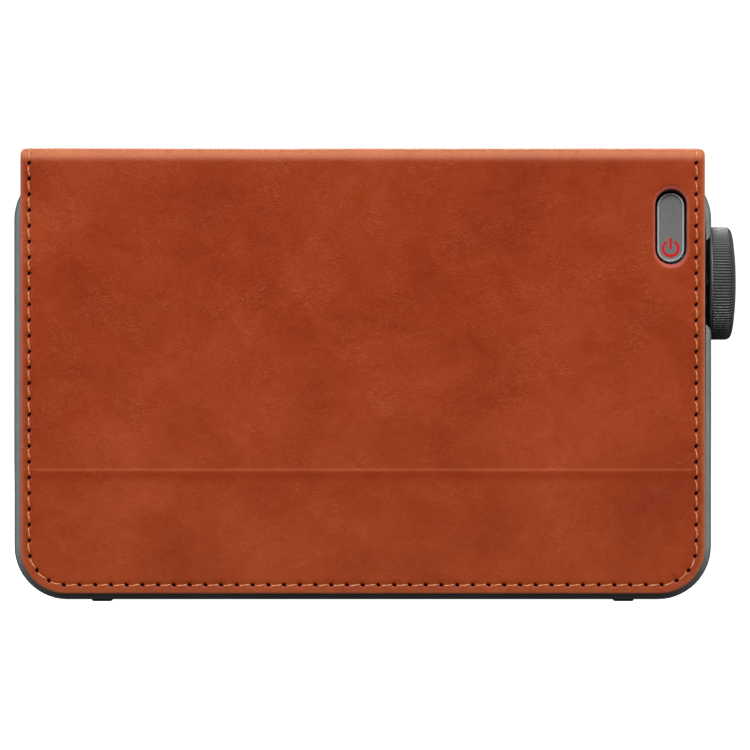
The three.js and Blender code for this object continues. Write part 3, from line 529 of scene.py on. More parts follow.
def prism(name, outline, front, rear, material=None):
    rings = [[(x, y, z) for x, z in outline] for y in (front, rear)]
    return stack(name, rings, [material] if material else [], smooth=False)


def lofted(name, outline_at, profile, materials, smooth=True):
    """Rings from outline_at(inset) at each (inset, y) of the profile."""
    rings = [[(x, y, z) for x, z in outline_at(inset)] for inset, y in profile]
    return stack(name, rings, materials, smooth=smooth)


def edge_profile(front, rear, front_edge, rear_edge, steps=6):
    """(inset, y) pairs with rounded ends; an edge of 0 stays square."""
    profile = []
    for edge, place, inward in ((front_edge, front, 1), (rear_edge, rear, -1)):
        if edge:
            turns = [math.pi / 2 * k / steps for k in range(steps + 1)]
            part = [(edge * (1 - math.sin(t)), place + inward * edge * (1 - math.cos(t))) for t in turns]
        else:
            part = [(0.0, place)]
        profile += part if inward == 1 else part[::-1]
    return profile


def turned(name, profile, centre, axis, materials, segments=64, ripple=None, face_materials=None):
    """A turned solid. The profile lists (radius, distance along the axis) and starts and ends on the axis."""
    axis = Vector(axis)
    across = Vector((0, 0, 1)) if abs(axis.z) < 0.5 else Vector((1, 0, 0))
    third = axis.cross(across)
    centre = Vector(centre)
    inner = profile[1:-1]
    vertices = [centre + axis * profile[0][1]]
    for level, (radius, along) in enumerate(inner):
        for k in range(segments):
            turn = 2 * math.pi * k / segments
            reach = radius + (ripple(level, k) if ripple else 0)
            outward = across * math.cos(turn) + third * math.sin(turn)
            vertices.append(centre + axis * along + outward * reach)
    vertices.append(centre + axis * profile[-1][1])
    last = len(vertices) - 1
    faces, kinds = [], []
    for k in range(segments):
        j = (k + 1) % segments
        faces.append((0, 1 + j, 1 + k))
        kinds.append(0)
        for level in range(len(inner) - 1):
            base = 1 + level * segments
            faces.append((base + k, base + j, base + segments + j, base + segments + k))
            kinds.append(level)
        base = 1 + (len(inner) - 1) * segments
        faces.append((base + k, base + j, last))
        kinds.append(len(inner) - 1)
    chosen = [face_materials(kind) for kind in kinds] if face_materials else None
    made = make_object(name, [v * MM for v in vertices], faces, materials, chosen)
    editable = bmesh.new()
    editable.from_mesh(made.data)
    bmesh.ops.recalc_face_normals(editable, faces=editable.faces)
    editable.to_mesh(made.data)
    editable.free()
    made.data.set_sharp_from_angle(angle=math.radians(40))
    return made


def block(name, low, high, material=None):
    x0, y0, z0 = low
    x1, y1, z1 = high
    return prism(name, [(x0, z0), (x1, z0), (x1, z1), (x0, z1)], y0, y1, material)


def joined(name, parts):
    """Several pieces as one object."""
    vertices, faces, kinds = [], [], []
    palette = []
    for part in parts:
        base = len(vertices)
        vertices += [part.matrix_world @ v.co for v in part.data.vertices]
        places = []
        for material in part.data.materials:
            if material not in palette:
                palette.append(material)
            places.append(palette.index(material))
        for face in part.data.polygons:
            faces.append([base + v for v in face.vertices])
            kinds.append(places[face.material_index] if places else 0)
    made = make_object(name, vertices, faces, palette, kinds)
    made.data.set_sharp_from_angle(angle=math.radians(40))
    for part in parts:
        mesh = part.data
        bpy.data.objects.remove(part)
        bpy.data.meshes.remove(mesh)
    return made


def place(made, body, nodes=(), slot=None):
    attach(made, body)
    if nodes:
        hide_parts(*nodes)
    return made


# ------------------------------------------------------------------ leather cover



def along_cover(s):
    """(y, z) of the leather's middle at distance s from the tab's lower edge, and its outward normal."""
    if s <= TAB_RISE:
        return TAB_Y, TAB_LOW.z + s, 1.0, 0.0
    if s <= SPINE_START:
        turn = (s - TAB_RISE) / BEND
        return (TAB_Y - BEND + BEND * math.cos(turn), SPINE_Z - BEND + BEND * math.sin(turn),
                math.cos(turn), math.sin(turn))
    if s <= FLAP_TURN_START:
        return TAB_Y - BEND - (s - SPINE_START), SPINE_Z, 0.0, 1.0
    if s <= FLAP_START:
        turn = (s - FLAP_TURN_START) / BEND
        return (FRONT_Y + BEND - BEND * math.sin(turn), SPINE_Z - BEND + BEND * math.cos(turn),
                -math.sin(turn), math.cos(turn))
    return FRONT_Y, SPINE_Z - BEND - (s - FLAP_START), -1.0, 0.0


def crease_lift(x, s):
    """The flap's fold line: it stands up sharply on its upper side and dies away below."""
    off = s - CREASE
    reach = 0.2 if off < 0 else 2.2
    edge = (COVER_HALF - abs(x) - CREASE_INSET) / 1.2
    share = min(1.0, max(0.0, edge + 0.5))
    ragged = 0.85 + 0.3 * noise.noise(Vector((x * 0.35, 0.5, 9.1)))
    return 0.11 * share * ragged * math.exp(-(off / reach) ** 2)


def waviness(x, s):
    """Gentle unevenness of hand-worked leather."""
    broad = noise.noise(Vector((x * 0.021, s * 0.027, 3.1)))
    small = noise.noise(Vector((x * 0.11, s * 0.13, 7.7)))
    return 0.10 * broad + 0.025 * small


def on_cover(x, s, h):
    y, z, ny, nz = along_cover(s)
    lift = h + waviness(x, s) + crease_lift(x, s)
    return Vector((COVER_X + x - drawn_in(x, s), y + ny * lift, z + nz * lift)) * MM


def drawn_in(x, s):
    """How far the side edges move inwards where the cover lies on top of the case."""
    if s < SPINE_START:
        turn = (s - TAB_RISE) / BEND
    else:
        turn = (FLAP_START - s) / BEND
    height = math.sin(min(math.pi / 2, max(0.0, turn)))
    outer = BEND + LEATHER / 2
    rise = min(1.0, max(0.0, (outer * height - outer + BEND_TUCK) / BEND_TUCK))
    near = min(1.0, max(0.0, (abs(x) - COVER_HALF + 9) / 9))
    return math.copysign(BEND_TUCK * (1 - math.sqrt(1 - rise * rise)) * near * near, x)


def rows():
    """Distances along the cover where the mesh has rows: close together where the leather bends."""
    close, wide = 0.35, 1.5
    fine = [(TAB_RISE - BEND_MARGIN, SPINE_START + BEND_MARGIN),
            (FLAP_TURN_START - BEND_MARGIN, FLAP_START + BEND_MARGIN),
            (CREASE - CREASE_MARGIN, CREASE + CREASE_MARGIN)]
    found = [0.0]
    while found[-1] < LENGTH:
        s = found[-1]
        step = close if any(low - 0.01 <= s < high for low, high in fine) else wide
        ahead = [low for low, high in fine if s < low - 0.01]
        if step == wide and ahead:
            step = min(step, min(ahead) - s)
        found.append(s + step)
    return found[:-1]


ROWS = rows()


def between(start, end, spacing):
    """Points from start towards end, the end left out."""
    count = max(1, round(abs(end - start) / spacing))
    return [start + (end - start) * k / count for k in range(count)]


def side_rows(low, high):
    """Rows strictly inside a straight side, from high to low."""
    return [s for s in reversed(ROWS) if low + 0.3 < s < high - 0.3]


def cover_outline(inset):
    """The cover's closed outline, moved inwards. Every inset gives the same number of points."""
    w, t = COVER_HALF - inset, TAB_HALF - inset
    half = [(x, LENGTH - inset) for x in between(0, COVER_HALF - FLAP_CORNER, 1.1)]
    half += arc(COVER_HALF - FLAP_CORNER, LENGTH - FLAP_CORNER, FLAP_CORNER - inset, 90, 0, 16)
    half += [(w, s) for s in side_rows(SHOULDER + SPINE_CORNER, LENGTH - FLAP_CORNER)]
    half += arc(COVER_HALF - SPINE_CORNER, SHOULDER + SPINE_CORNER, SPINE_CORNER - inset, 0, -90, 12)
    shoulder_run = between(COVER_HALF - SPINE_CORNER, TAB_HALF + TAB_FILLET, 1.1)
    half += [(x, SHOULDER + inset) for x in shoulder_run[1:]]
    half += arc(TAB_HALF + TAB_FILLET, SHOULDER - TAB_FILLET, TAB_FILLET + inset, 90, 180, 8)
    half += [(t, s) for s in side_rows(TAB_CORNER, SHOULDER - TAB_FILLET)]
    half += arc(TAB_HALF - TAB_CORNER, TAB_CORNER, TAB_CORNER - inset, 0, -90, 8)
    half += [(x, inset) for x in between(TAB_HALF - TAB_CORNER, 0, 1.1)[1:]]
    other = [(-x, s) for x, s in reversed(half) if x > 1e-6]
    return half + [(0.0, inset)] + other


def cutout_outline(width, height, rise):
    """The pill-shaped window for the power button; its middle may lie above the button's."""
    s = FLAP_START + SPINE_Z - BEND - POWER.z - rise
    return pill(POWER.x - COVER_X, s, width, height, 16)


def clear_of_cutout(points, margin):
    return ~inside(points, cutout_outline(8.5 + 2 * margin, 19.7 + 2 * margin, 0.2))


def inside(points, polygon):
    points, polygon = np.asarray(points, float), np.asarray(polygon, float)
    result = np.zeros(len(points), bool)
    px, py = points[:, 0], points[:, 1]
    for (ax, ay), (bx, by) in zip(polygon, np.roll(polygon, -1, axis=0)):
        crosses = (ay > py) != (by > py)
        with np.errstate(divide="ignore", invalid="ignore"):
            reach = ax + (py - ay) * (bx - ax) / (by - ay)
        result ^= crosses & (px < reach)
    return result


def resample(loop, count):
    """Points at equal distances round a closed loop, with unit tangents."""
    loop = np.asarray(loop + loop[:1], float)
    steps = np.hypot(*np.diff(loop, axis=0).T)
    run = np.concatenate([[0], np.cumsum(steps)])
    wanted = np.arange(count) * run[-1] / count
    points = np.stack([np.interp(wanted, run, loop[:, 0]), np.interp(wanted, run, loop[:, 1])], axis=1)
    ahead = np.stack([np.interp((wanted + 0.3) % run[-1], run, loop[:, k]) for k in (0, 1)], axis=1)
    behind = np.stack([np.interp((wanted - 0.3) % run[-1], run, loop[:, k]) for k in (0, 1)], axis=1)
    tangents = ahead - behind
    return points, tangents / np.hypot(*tangents.T)[:, None], run[-1]


STITCH_LINE = cover_outline(STITCH_INSET)
_, _, STITCH_RUN = resample(STITCH_LINE, 8)
STITCHES = 2 * round(STITCH_RUN / STITCH_PITCH / 2)
HOLES, HOLE_TANGENTS, _ = resample(STITCH_LINE, STITCHES)


def clear_row(target):
    """The row nearest the target that misses every stitch hole."""
    free = [s for s in ROWS if np.min(np.abs(HOLES[:, 1] - s)) > 0.62]
    return min(free, key=lambda s: abs(s - target))


SPINE_SPLIT = clear_row(SPINE_START + SPINE_RUN / 2)
CREASE_SPLIT = clear_row(CREASE - 2.4)
BAND = 0.9                   # width of the rounded edge, worked as rings
HOLE_LONG, HOLE_SHORT = 0.41, 0.31
GROOVE_LINES = (1.35, 1.75, 2.6, 3.05)


def groove(inset):
    return STITCH_GROOVE * math.exp(-((inset - STITCH_INSET) / 0.36) ** 2)


# The cut-out's rings from the outside in: width, height, rise above the button's middle, and height on the
# leather.
CUTOUT_PROFILE = (
    (9.3, 20.5, 0.22, LEATHER / 2),
    (8.75, 19.95, 0.24, LEATHER / 2 - 0.03),
    (8.4, 19.6, 0.24, LEATHER / 2 - 0.14),
    (8.25, 19.35, 0.22, LEATHER / 2 - 0.2),
    (7.75, 18.3, 0.1, LEATHER / 2 - 0.27),
    (7.68, 18.1, 0.08, LEATHER / 2 - 0.42),
    (7.68, 18.1, 0.08, 0.25 - LEATHER / 2),
    (7.9, 18.4, 0.08, 0.04 - LEATHER / 2),
    (8.4, 19.0, 0.1, -LEATHER / 2),
    (9.3, 20.5, 0.22, -LEATHER / 2),
)


class CoverMesh:
    """Collects the cover's vertices as (x, s, h), with a value for each that holds real edge wear and painted
    light.
    """

    def __init__(self):
        self.places, self.wear, self.faces, self.kinds = [], [], [], []

    def vertex(self, x, s, h, wear=0.0):
        self.places.append((x, s, h))
        self.wear.append(wear)
        return len(self.places) - 1

    def face(self, corners, kind):
        self.faces.append(tuple(corners))
        self.kinds.append(kind)


OUTER, EDGE, LINING, PIT, CUT = range(5)


def fill(cover, boundary, opening, points, heights, wears, kind_of, flip):
    """Triangles between a boundary ring and an opening ring, through the given points."""
    base = boundary + opening
    flat = [Vector(cover.places[i][:2]) for i in base] + [Vector(p) for p in points]
    edges = [(i, (i + 1) % len(boundary)) for i in range(len(boundary))]
    start = len(boundary)
    edges += [(start + i, start + (i + 1) % len(opening)) for i in range(len(opening))]
    for split in (SPINE_SPLIT, CREASE_SPLIT):
        line = sorted((v.x, i) for i, v in enumerate(flat) if abs(v.y - split) < 1e-4)
        edges += [(a[1], b[1]) for a, b in zip(line, line[1:])]
    out, _, triangles, origins, _, _ = delaunay_2d_cdt(flat, edges, [list(range(len(boundary)))], 1, 1e-5)
    index = []
    for place, source in zip(out, origins):
        known = [o for o in source if o < len(flat)]
        if known and known[0] < len(base):
            index.append(base[known[0]])
        elif known:
            k = known[0] - len(base)
            index.append(cover.vertex(place.x, place.y, heights[k], wears[k]))
        else:
            index.append(cover.vertex(place.x, place.y, heights[0], 0.0))
    corners = np.array([[(out[a].x + out[b].x + out[c].x) / 3, (out[a].y + out[b].y + out[c].y) / 3]
                        for a, b, c in triangles])
    hole = inside(corners, [cover.places[i][:2] for i in opening])
    for triangle, centre, skipped in zip(triangles, corners, hole):
        if skipped:
            continue
        a, b, c = triangle
        area = (out[b] - out[a]).cross(out[c] - out[a])
        order = (a, b, c) if (area > 0) != flip else (a, c, b)
        cover.face([index[i] for i in order], kind_of(centre, [index[i] for i in triangle]))


def bend_wear(s):
    """Leather is lighter where it turns over the top and along its fold line, and darker below the fold. At
    the top front bend and the fold line the lightening is partly the pull-up leather's own and partly a
    painted highlight; the darker band below the fold is painted shade.
    """
    # top front bend: the leather's own pull-up lightening together with a painted highlight
    ended = 1 / (1 + math.exp((s - FLAP_START + 0.6) / 0.3))
    begun = 1 / (1 + math.exp((s - FLAP_TURN_START + 0.6) / 0.5))
    top = ended - begun
    rear = math.exp(-((s - (TAB_RISE + TURN / 2)) / 2.0) ** 2)
    off = s - CREASE
    # fold line: pull-up lightening with a painted highlight; just below it a band of painted shade
    fold = math.exp(-((off + 0.12) / 0.16) ** 2)
    under = math.exp(-((off - 0.9) / 1.5) ** 2) if off > 0.1 else 0.0
    return max(0.66 * top, 0.5 * rear, 0.24 * fold) - 0.4 * under


def edge_wear(inset):
    return 0.45 * math.exp(-(inset / 0.8) ** 2)


def ring(cover, outline, h, wear):
    return [cover.vertex(x, s, h, max(wear, bend_wear(s))) for x, s in outline]


def bridge(cover, first, second, kind):
    for i in range(len(first)):
        j = (i + 1) % len(first)
        cover.face((first[i], first[j], second[j], second[i]), kind)


def build_cover():
    half = LEATHER / 2
    cover = CoverMesh()
    rim = [(BAND, half), (0.5, half - 0.02), (0.2, half - 0.12), (0.05, half - 0.32), (0, half - 0.6)]
    profile = rim + [(inset, -h) for inset, h in reversed(rim)]
    rings = [ring(cover, cover_outline(inset), h, edge_wear(inset)) for inset, h in profile]
    last = len(profile) - 1
    for k in range(last):
        soft = OUTER if k < 2 else LINING if k >= last - 2 else EDGE
        bridge(cover, rings[k], rings[k + 1], soft)
    cutouts = []
    for width, height, rise, h in CUTOUT_PROFILE:
        wear = 0.25 * math.exp(-((width - 8.3) / 0.5) ** 2)
        cutouts.append(ring(cover, cutout_outline(width, height, rise), h, wear))
    for k in range(len(cutouts) - 1):
        soft = OUTER if k < 2 else LINING if k >= 6 else CUT
        bridge(cover, cutouts[k], cutouts[k + 1], soft)

    grid = [(x, s) for s in ROWS for x in np.arange(-81, 81.1, 1.8)]
    room = inside(grid, cover_outline(BAND + 2.7)) & clear_of_cutout(grid, 1.2)
    points = [p for p, keep in zip(grid, room) if keep]
    insets = [9.0] * len(points)
    for inset in GROOVE_LINES:
        line = cover_outline(inset)
        points += line
        insets += [inset] * len(line)
    heights = [half - groove(inset) for inset in insets]
    centre_line, _, _ = resample(STITCH_LINE, STITCHES * 10)
    for k, (x, s) in enumerate(centre_line):
        if k % 10 in (2, 3, 4, 5, 6, 7, 8):
            points.append((x, s))
            heights.append(half - STITCH_GROOVE)
    for (x, s), (tx, ts) in zip(HOLES, HOLE_TANGENTS):
        lean = math.atan2(ts, tx) + 0.55
        along, across = (math.cos(lean), math.sin(lean)), (-math.sin(lean), math.cos(lean))
        for share, count, depth in ((1.28, 10, 0.0), (1.0, 10, 0.10), (0.62, 7, 0.55), (0.0, 1, 0.85)):
            for k in range(count):
                turn = 2 * math.pi * k / count
                u, v = HOLE_LONG * share * math.cos(turn), HOLE_SHORT * share * math.sin(turn)
                points.append((x + along[0] * u + across[0] * v, s + along[1] * u + across[1] * v))
                heights.append(half - STITCH_GROOVE - depth)
    wears = [bend_wear(s) for _, s in points]

    # Faces sunk below this level are the insides of the stitch holes and take the near-black pit colour:
    # painted shade.
    pit_level = half - STITCH_GROOVE - 0.05

    def outer_kind(_, corners):
        return PIT if min(cover.places[i][2] for i in corners) < pit_level else OUTER

    fill(cover, rings[0], cutouts[0], points, heights, wears, outer_kind, False)
    coarse = [(x, s) for s in ROWS for x in np.arange(-80, 80.1, 5.0)]
    room = inside(coarse, cover_outline(BAND + 0.8)) & clear_of_cutout(coarse, 2.0)
    coarse = [p for p, keep in zip(coarse, room) if keep]
    fill(cover, rings[last], cutouts[-1], coarse, [-half] * len(coarse), [0.0] * len(coarse),
         lambda *_: LINING, True)
    return cover


def stitch_meshes():
    """Each stitch is a short twisted thread that dips into a hole at both ends, on both faces."""
    half = LEATHER / 2
    sides, steps = 8, 9
    dense, tangents, _ = resample(STITCH_LINE, STITCHES * 40)
    parts = []
    for face in (1, -1):
        for k in range(STITCHES):
            wobble = noise.noise(Vector((k * 1.7, 0.4, 2.2))) * 0.09
            lean = 0.13 + noise.noise(Vector((k * 2.3, 5.1, 0.7))) * 0.07
            places = []
            for step in range(steps + 1):
                share = step / steps
                at = (k * 40 + 4.0 + share * 32.0) % (STITCHES * 40)
                low = int(at)
                mixed = at - low
                x, s = dense[low] * (1 - mixed) + dense[(low + 1) % len(dense)] * mixed
                tx, ts = tangents[low]
                side = lean * math.cos(math.pi * share) + (wobble + 0.16) * math.sin(math.pi * share)
                rise = math.sin(math.pi * min(1.0, max(0.0, share))) ** 0.45
                height = half - STITCH_GROOVE - 0.34 + 0.42 * rise
                thin = 0.72 + 0.28 * rise
                for corner in range(sides):
                    turn = 2 * math.pi * corner / sides
                    u = side + THREAD_RADIUS * thin * math.cos(turn)
                    h = height + THREAD_RADIUS * thin * 0.85 * math.sin(turn)
                    places.append((x - ts * u, s + tx * u, face * h))
            faces = [tuple(reversed(range(sides))), tuple(range(steps * sides, (steps + 1) * sides))]
            for step in range(steps):
                for corner in range(sides):
                    j = (corner + 1) % sides
                    base = step * sides
                    faces.append((base + corner, base + j, base + sides + j, base + sides + corner))
            if face < 0:
                faces = [tuple(reversed(f)) for f in faces]
            middle = places[len(places) // 2][1]
            parts.append((middle, places, faces))
    return parts


PANELS = (
    ("cover_back", -1.0, SPINE_SPLIT),
    ("cover_front", SPINE_SPLIT, CREASE_SPLIT),
    ("cover_foot", CREASE_SPLIT, LENGTH + 1.0),
)


def panel_object(name, places, wear, faces, kinds, materials):
    """An object from the faces given, with only the vertices that they use."""
    used = sorted({i for face in faces for i in face})
    renumber = {old: new for new, old in enumerate(used)}
    chosen = [places[i] for i in used]
    rest = [(x * MM, s * MM, h * MM) for x, s, h in chosen]
    return make_object(
        name,
        [on_cover(*p) for p in chosen],
        [[renumber[i] for i in reversed(face)] for face in faces],
        materials,
        kinds,
        {"rest": rest, "wear": [wear[i] for i in used]},
    )


def make_cover():
    cover = build_cover()
    threads = stitch_meshes()
    made = {}
    for name, low, high in PANELS:
        chosen = [k for k, face in enumerate(cover.faces)
                  if low < sum(cover.places[i][1] for i in face) / len(face) <= high]
        leather = panel_object(
            name, cover.places, cover.wear,
            [cover.faces[k] for k in chosen], [cover.kinds[k] for k in chosen],
            [MATERIAL["leather"], MATERIAL["edge"], MATERIAL["lining"], MATERIAL["pit"], MATERIAL["cut"]])
        places, faces = [], []
        for at, thread_places, thread_faces in threads:
            if low < at <= high:
                base = len(places)
                places += thread_places
                faces += [[base + i for i in face] for face in thread_faces]
        thread = panel_object(name.replace("cover", "stitches"), places, [0.0] * len(places), faces,
                              [0] * len(faces), [MATERIAL["thread"]])
        made[name] = (leather, thread)
    reach = 4.2
    rear = ((COVER_X, TAB_Y, SPINE_Z - reach), (COVER_X, TAB_Y - reach, SPINE_Z))
    front = ((COVER_X, FRONT_Y + reach, SPINE_Z), (COVER_X, FRONT_Y, SPINE_Z - reach))
    fold = ((COVER_X, FRONT_Y, CREASE_Z + 2.2), (COVER_X, FRONT_Y, CREASE_Z - 2.2))
    bends = {
        "cover_back": ("radio", "cover_spine", rear, ["cover_back_tab"]),
        "cover_front": ("cover_spine", "cover_flap_upper", front, ["cover_spine", "cover_flap_upper"]),
        "cover_foot": ("cover_flap_upper", "cover_flap_lower", fold, ["cover_flap_lower"]),
    }
    for name, (first, second, (start, end), nodes) in bends.items():
        for piece in made[name]:
            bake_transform(piece)
        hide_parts(*nodes)


make_cover()

# ------------------------------------------------------------------ case


def case_outline(inset, steps=14):
    return rounded_rectangle(
        CASE_X - CASE_HALF + inset, CASE_X + CASE_HALF - inset, CASE_BOTTOM + inset, CASE_TOP - inset,
        CASE_CORNER - inset, steps)


def grown(node, growth):
    """A box round a node, as left, right, bottom and top."""
    low, high = box_mm(node)
    return low.x - growth, high.x + growth, low.z - growth, high.z + growth


KEYS = [name for name in frame["nodes"] if name.startswith("key_")]
KEY_FLANGE = 0.8
KNOB = middle_mm("tuning_knob")
KNOB_LOW, KNOB_HIGH = box_mm("tuning_knob")
POCKET_RADIUS = 16.4
POCKET_DEPTH = 1.7
SHELF_Z = 90.0               # the ledge at the back that the antenna lies on
STEP_Y = 6.5                 # the wall behind that ledge
BAY_FRONT = -2.0
SWIVEL_HOLE_RADIUS = 2.7
SWIVEL_HOLE_DEPTH = 2.9
POWER_SLOT_WIDTH = 7.64
POWER_SLOT_HEIGHT = 17.6
SIDE_WALL = 3.2
FACE_WALL = 2.2
TONGUE_INSET = 1.3           # the front half's tongue runs in the rear half's groove
GROOVE_INSET = 1.2
FIT = 0.25                   # play round a piece let into the case
GAP = 0.3                    # play behind it
BEYOND = 100                 # past the sides of the case
ABOVE = 130                  # past its top
SPEAKER = middle_mm("speaker_frame")
FEET = ("foot_left", "foot_right")
SCREWS = [name for name in frame["nodes"] if name.startswith("case_screw")]
SOCKETS = ("headphone_socket", "power_socket")


def pocket_tool():
    side = CASE_X + CASE_HALF
    return turned("pocket", [(0, side - POCKET_DEPTH), (POCKET_RADIUS, side - POCKET_DEPTH),
                             (POCKET_RADIUS, side + 2), (0, side + 2)],
                  (0, KNOB.y, KNOB.z), (1, 0, 0), [MATERIAL["pocket"]], 96)


def foot_tool(node):
    low, high = box_mm(node)
    return block("recess", (low.x - 0.3, low.y - 0.3, -2), (high.x + 0.3, high.y + 0.3, high.z + 0.3))


def cylinder_tool(x, z, radius, front, rear, segments=32):
    return turned("hole", [(0, front), (radius, front), (radius, rear), (0, rear)], (x, 0, z), (0, 1, 0),
                  [], segments)


def make_front_case():
    rear = FRONT_HIGH.y
    shell = lofted("front_shell", case_outline,
                   edge_profile(CASE_FRONT, rear, CASE_EDGE, 0, 9), [MATERIAL["case"], MATERIAL["pocket"]])
    cut(shell, [prism("tongue", case_outline(TONGUE_INSET), rear - 1, REAR_LOW.y + 0.6)], "UNION")
    hollow_outline = rounded_rectangle(
        CASE_X - CASE_HALF + SIDE_WALL, CASE_X + CASE_HALF - SIDE_WALL, CASE_BOTTOM + FACE_WALL,
        CASE_TOP - FACE_WALL, 10.6)
    tools = [prism("hollow", hollow_outline, PANEL_BACK, rear + 3)]
    for key in KEYS:
        left, right, bottom, top = grown(key, 0.3 - KEY_FLANGE)
        tools.append(prism("key_hole", rounded_rectangle(left, right, bottom, top, 2.2, 5),
                           CASE_FRONT - 1, PANEL_BACK + 1))
    window_back = box_mm("display_window")[1].y
    tools.append(prism("rebate", rounded_rectangle(*grown("display_window", FIT), 2.2, 6),
                       CASE_FRONT - 1, window_back + GAP))
    tools.append(prism("opening", rounded_rectangle(*grown("display_window", -2), 1.4, 5),
                       CASE_FRONT - 1, PANEL_BACK + 1))
    grille = box_mm("speaker_grille")
    tools.append(cylinder_tool(SPEAKER.x, SPEAKER.z, (grille[1].x - grille[0].x) / 2 + 0.25,
                               CASE_FRONT - 1, grille[1].y + 0.3, 96))
    tools.append(cylinder_tool(SPEAKER.x, SPEAKER.z, 27, CASE_FRONT - 1, PANEL_BACK + 1, 72))
    tools.append(prism("power_slot", pill(POWER.x, POWER.z, POWER_SLOT_WIDTH, POWER_SLOT_HEIGHT),
                       CASE_FRONT - 1, PANEL_BACK + 1))
    tools.append(pocket_tool())
    tools += [foot_tool(foot) for foot in FEET]
    cut(shell, tools)
    soften(shell, 0.22)
    place(shell, "radio", ["front_case"], "case_plastic")


def make_rear_case():
    front = REAR_LOW.y
    shell = lofted("rear_shell", case_outline,
                   edge_profile(front, CASE_REAR, 0, CASE_EDGE, 9),
                   [MATERIAL["case_rear"], MATERIAL["pocket"]])
    tools = [
        prism("groove", case_outline(GROOVE_INSET), front - 1, front + 0.7),
        prism("step", [(CASE_X - BEYOND, SHELF_Z), (CASE_X + BEYOND, SHELF_Z), (CASE_X + BEYOND, ABOVE),
                       (CASE_X - BEYOND, ABOVE)], STEP_Y, CASE_REAR + 2),
        pocket_tool(),
    ]
    hollow_outline = rounded_rectangle(
        CASE_X - CASE_HALF + SIDE_WALL, CASE_X + CASE_HALF - SIDE_WALL, CASE_BOTTOM + FACE_WALL,
        SHELF_Z - 2, 10)
    tools.append(prism("hollow", hollow_outline, front - 1, BAY_FRONT))
    door_front = box_mm("battery_door")[0].y
    tools.append(prism("door_rebate", rounded_rectangle(*grown("battery_door", FIT), 2.2, 6),
                       door_front - GAP, CASE_REAR + 2))
    tools.append(prism("bay", rounded_rectangle(CASE_X - 54.2, CASE_X + 54.2, 5, 35.6, 1), BAY_FRONT + 2,
                       CASE_REAR + 2))
    for screw in SCREWS:
        at = middle_mm(screw)
        tools.append(cylinder_tool(at.x, at.z, 2.8, CASE_REAR - 1.9, CASE_REAR + 2, 40))
    for socket in SOCKETS:
        at = middle_mm(socket)
        side = CASE_X - CASE_HALF
        tools.append(turned("socket_hole", [(0, side - 2), (3.7, side - 2), (3.7, side + 3), (0, side + 3)],
                            (0, at.y, at.z), (1, 0, 0), [], 40))
    swivel = middle_mm("antenna_swivel")
    floor = SHELF_Z - SWIVEL_HOLE_DEPTH
    tools.append(turned("swivel_hole", [(0, floor), (SWIVEL_HOLE_RADIUS, floor),
                                        (SWIVEL_HOLE_RADIUS, SHELF_Z + 2), (0, SHELF_Z + 2)],
                        (swivel.x, swivel.y, 0), (0, 0, 1), [], 32))
    for stud in ("snap_stud_left", "snap_stud_right"):
        at = middle_mm(stud)
        tools.append(cylinder_tool(at.x, at.z, 2.3, STEP_Y - 3, STEP_Y + 2, 24))
    tools += [foot_tool(foot) for foot in FEET]
    cut(shell, tools)
    soften(shell, 0.22)
    place(shell, "radio", ["rear_case"], "case_plastic")


make_front_case()
make_rear_case()

# ------------------------------------------------------------------ power button and keys


def make_power_button():
    front = box_mm("power_button")[0].y
    outline = lambda inset: pill(POWER.x, POWER.z, POWER_WIDTH - 2 * inset, POWER_HEIGHT - 2 * inset, 24)
    profile = [(0, PANEL_BACK + 0.3), (0, front + 0.42), (0.03, front + 0.25), (0.13, front + 0.09),
               (0.28, front), (0.42, front), (0.50, front + 0.06), (0.56, front + 0.14), (0.9, front + 0.16),
               (1.4, front + 0.17)]
    body = lofted("power_cap", outline, profile, [MATERIAL["button"], MATERIAL["rim"]])
    count = len(outline(0))
    # The rounded edge round the button's face takes the lighter rim grey: a painted highlight.
    kinds = [0] * len(body.data.polygons)
    for level in (2, 3, 4):
        for i in range(count):
            kinds[1 + level * count + i] = 1
    body.data.polygons.foreach_set("material_index", kinds)
    body.data.set_sharp_from_angle(angle=math.radians(60))
    place(body, "power_button", ["power_button"], "button_plastic")
    face = front + 0.16
    centre_x, centre_z = POWER.x, POWER.z - 5.0
    outer, inner = 2.12, 1.5
    half_gap = 31
    sector = (arc(centre_x, centre_z, outer, 90 + half_gap, 450 - half_gap, 44)
              + arc(centre_x, centre_z, inner, 450 - half_gap, 90 + half_gap, 44))
    ring_piece = prism("symbol_ring", sector, face - 0.02, face + 0.1, MATERIAL["red"])
    bar = prism("symbol_bar", pill(centre_x, centre_z + 1.16, 0.62, 2.7, 10), face - 0.02, face + 0.1,
                MATERIAL["red"])
    symbol = joined("standby_symbol", [ring_piece, bar])
    place(symbol, "power_button")


def text_mesh(name, text, size, x, z, y, material):
    """Flat raised printing that faces the front."""
    curve = bpy.data.curves.new(name, "FONT")
    curve.body = text
    curve.size = size * MM
    curve.extrude = 0.02 * MM
    curve.align_x = "CENTER"
    curve.align_y = "CENTER"
    writer = bpy.data.objects.new(name, curve)
    bpy.context.scene.collection.objects.link(writer)
    depsgraph = bpy.context.evaluated_depsgraph_get()
    mesh = bpy.data.meshes.new_from_object(writer.evaluated_get(depsgraph), depsgraph=depsgraph)
    bpy.data.objects.remove(writer)
    mesh.transform(Matrix.Translation(Vector((x, y, z)) * MM) @ Matrix.Rotation(math.pi / 2, 4, "X"))
    mesh.materials.clear()
    mesh.materials.append(material)
    mesh.name = name
    made = bpy.data.objects.new(name, mesh)
    bpy.context.scene.collection.objects.link(made)
    return made


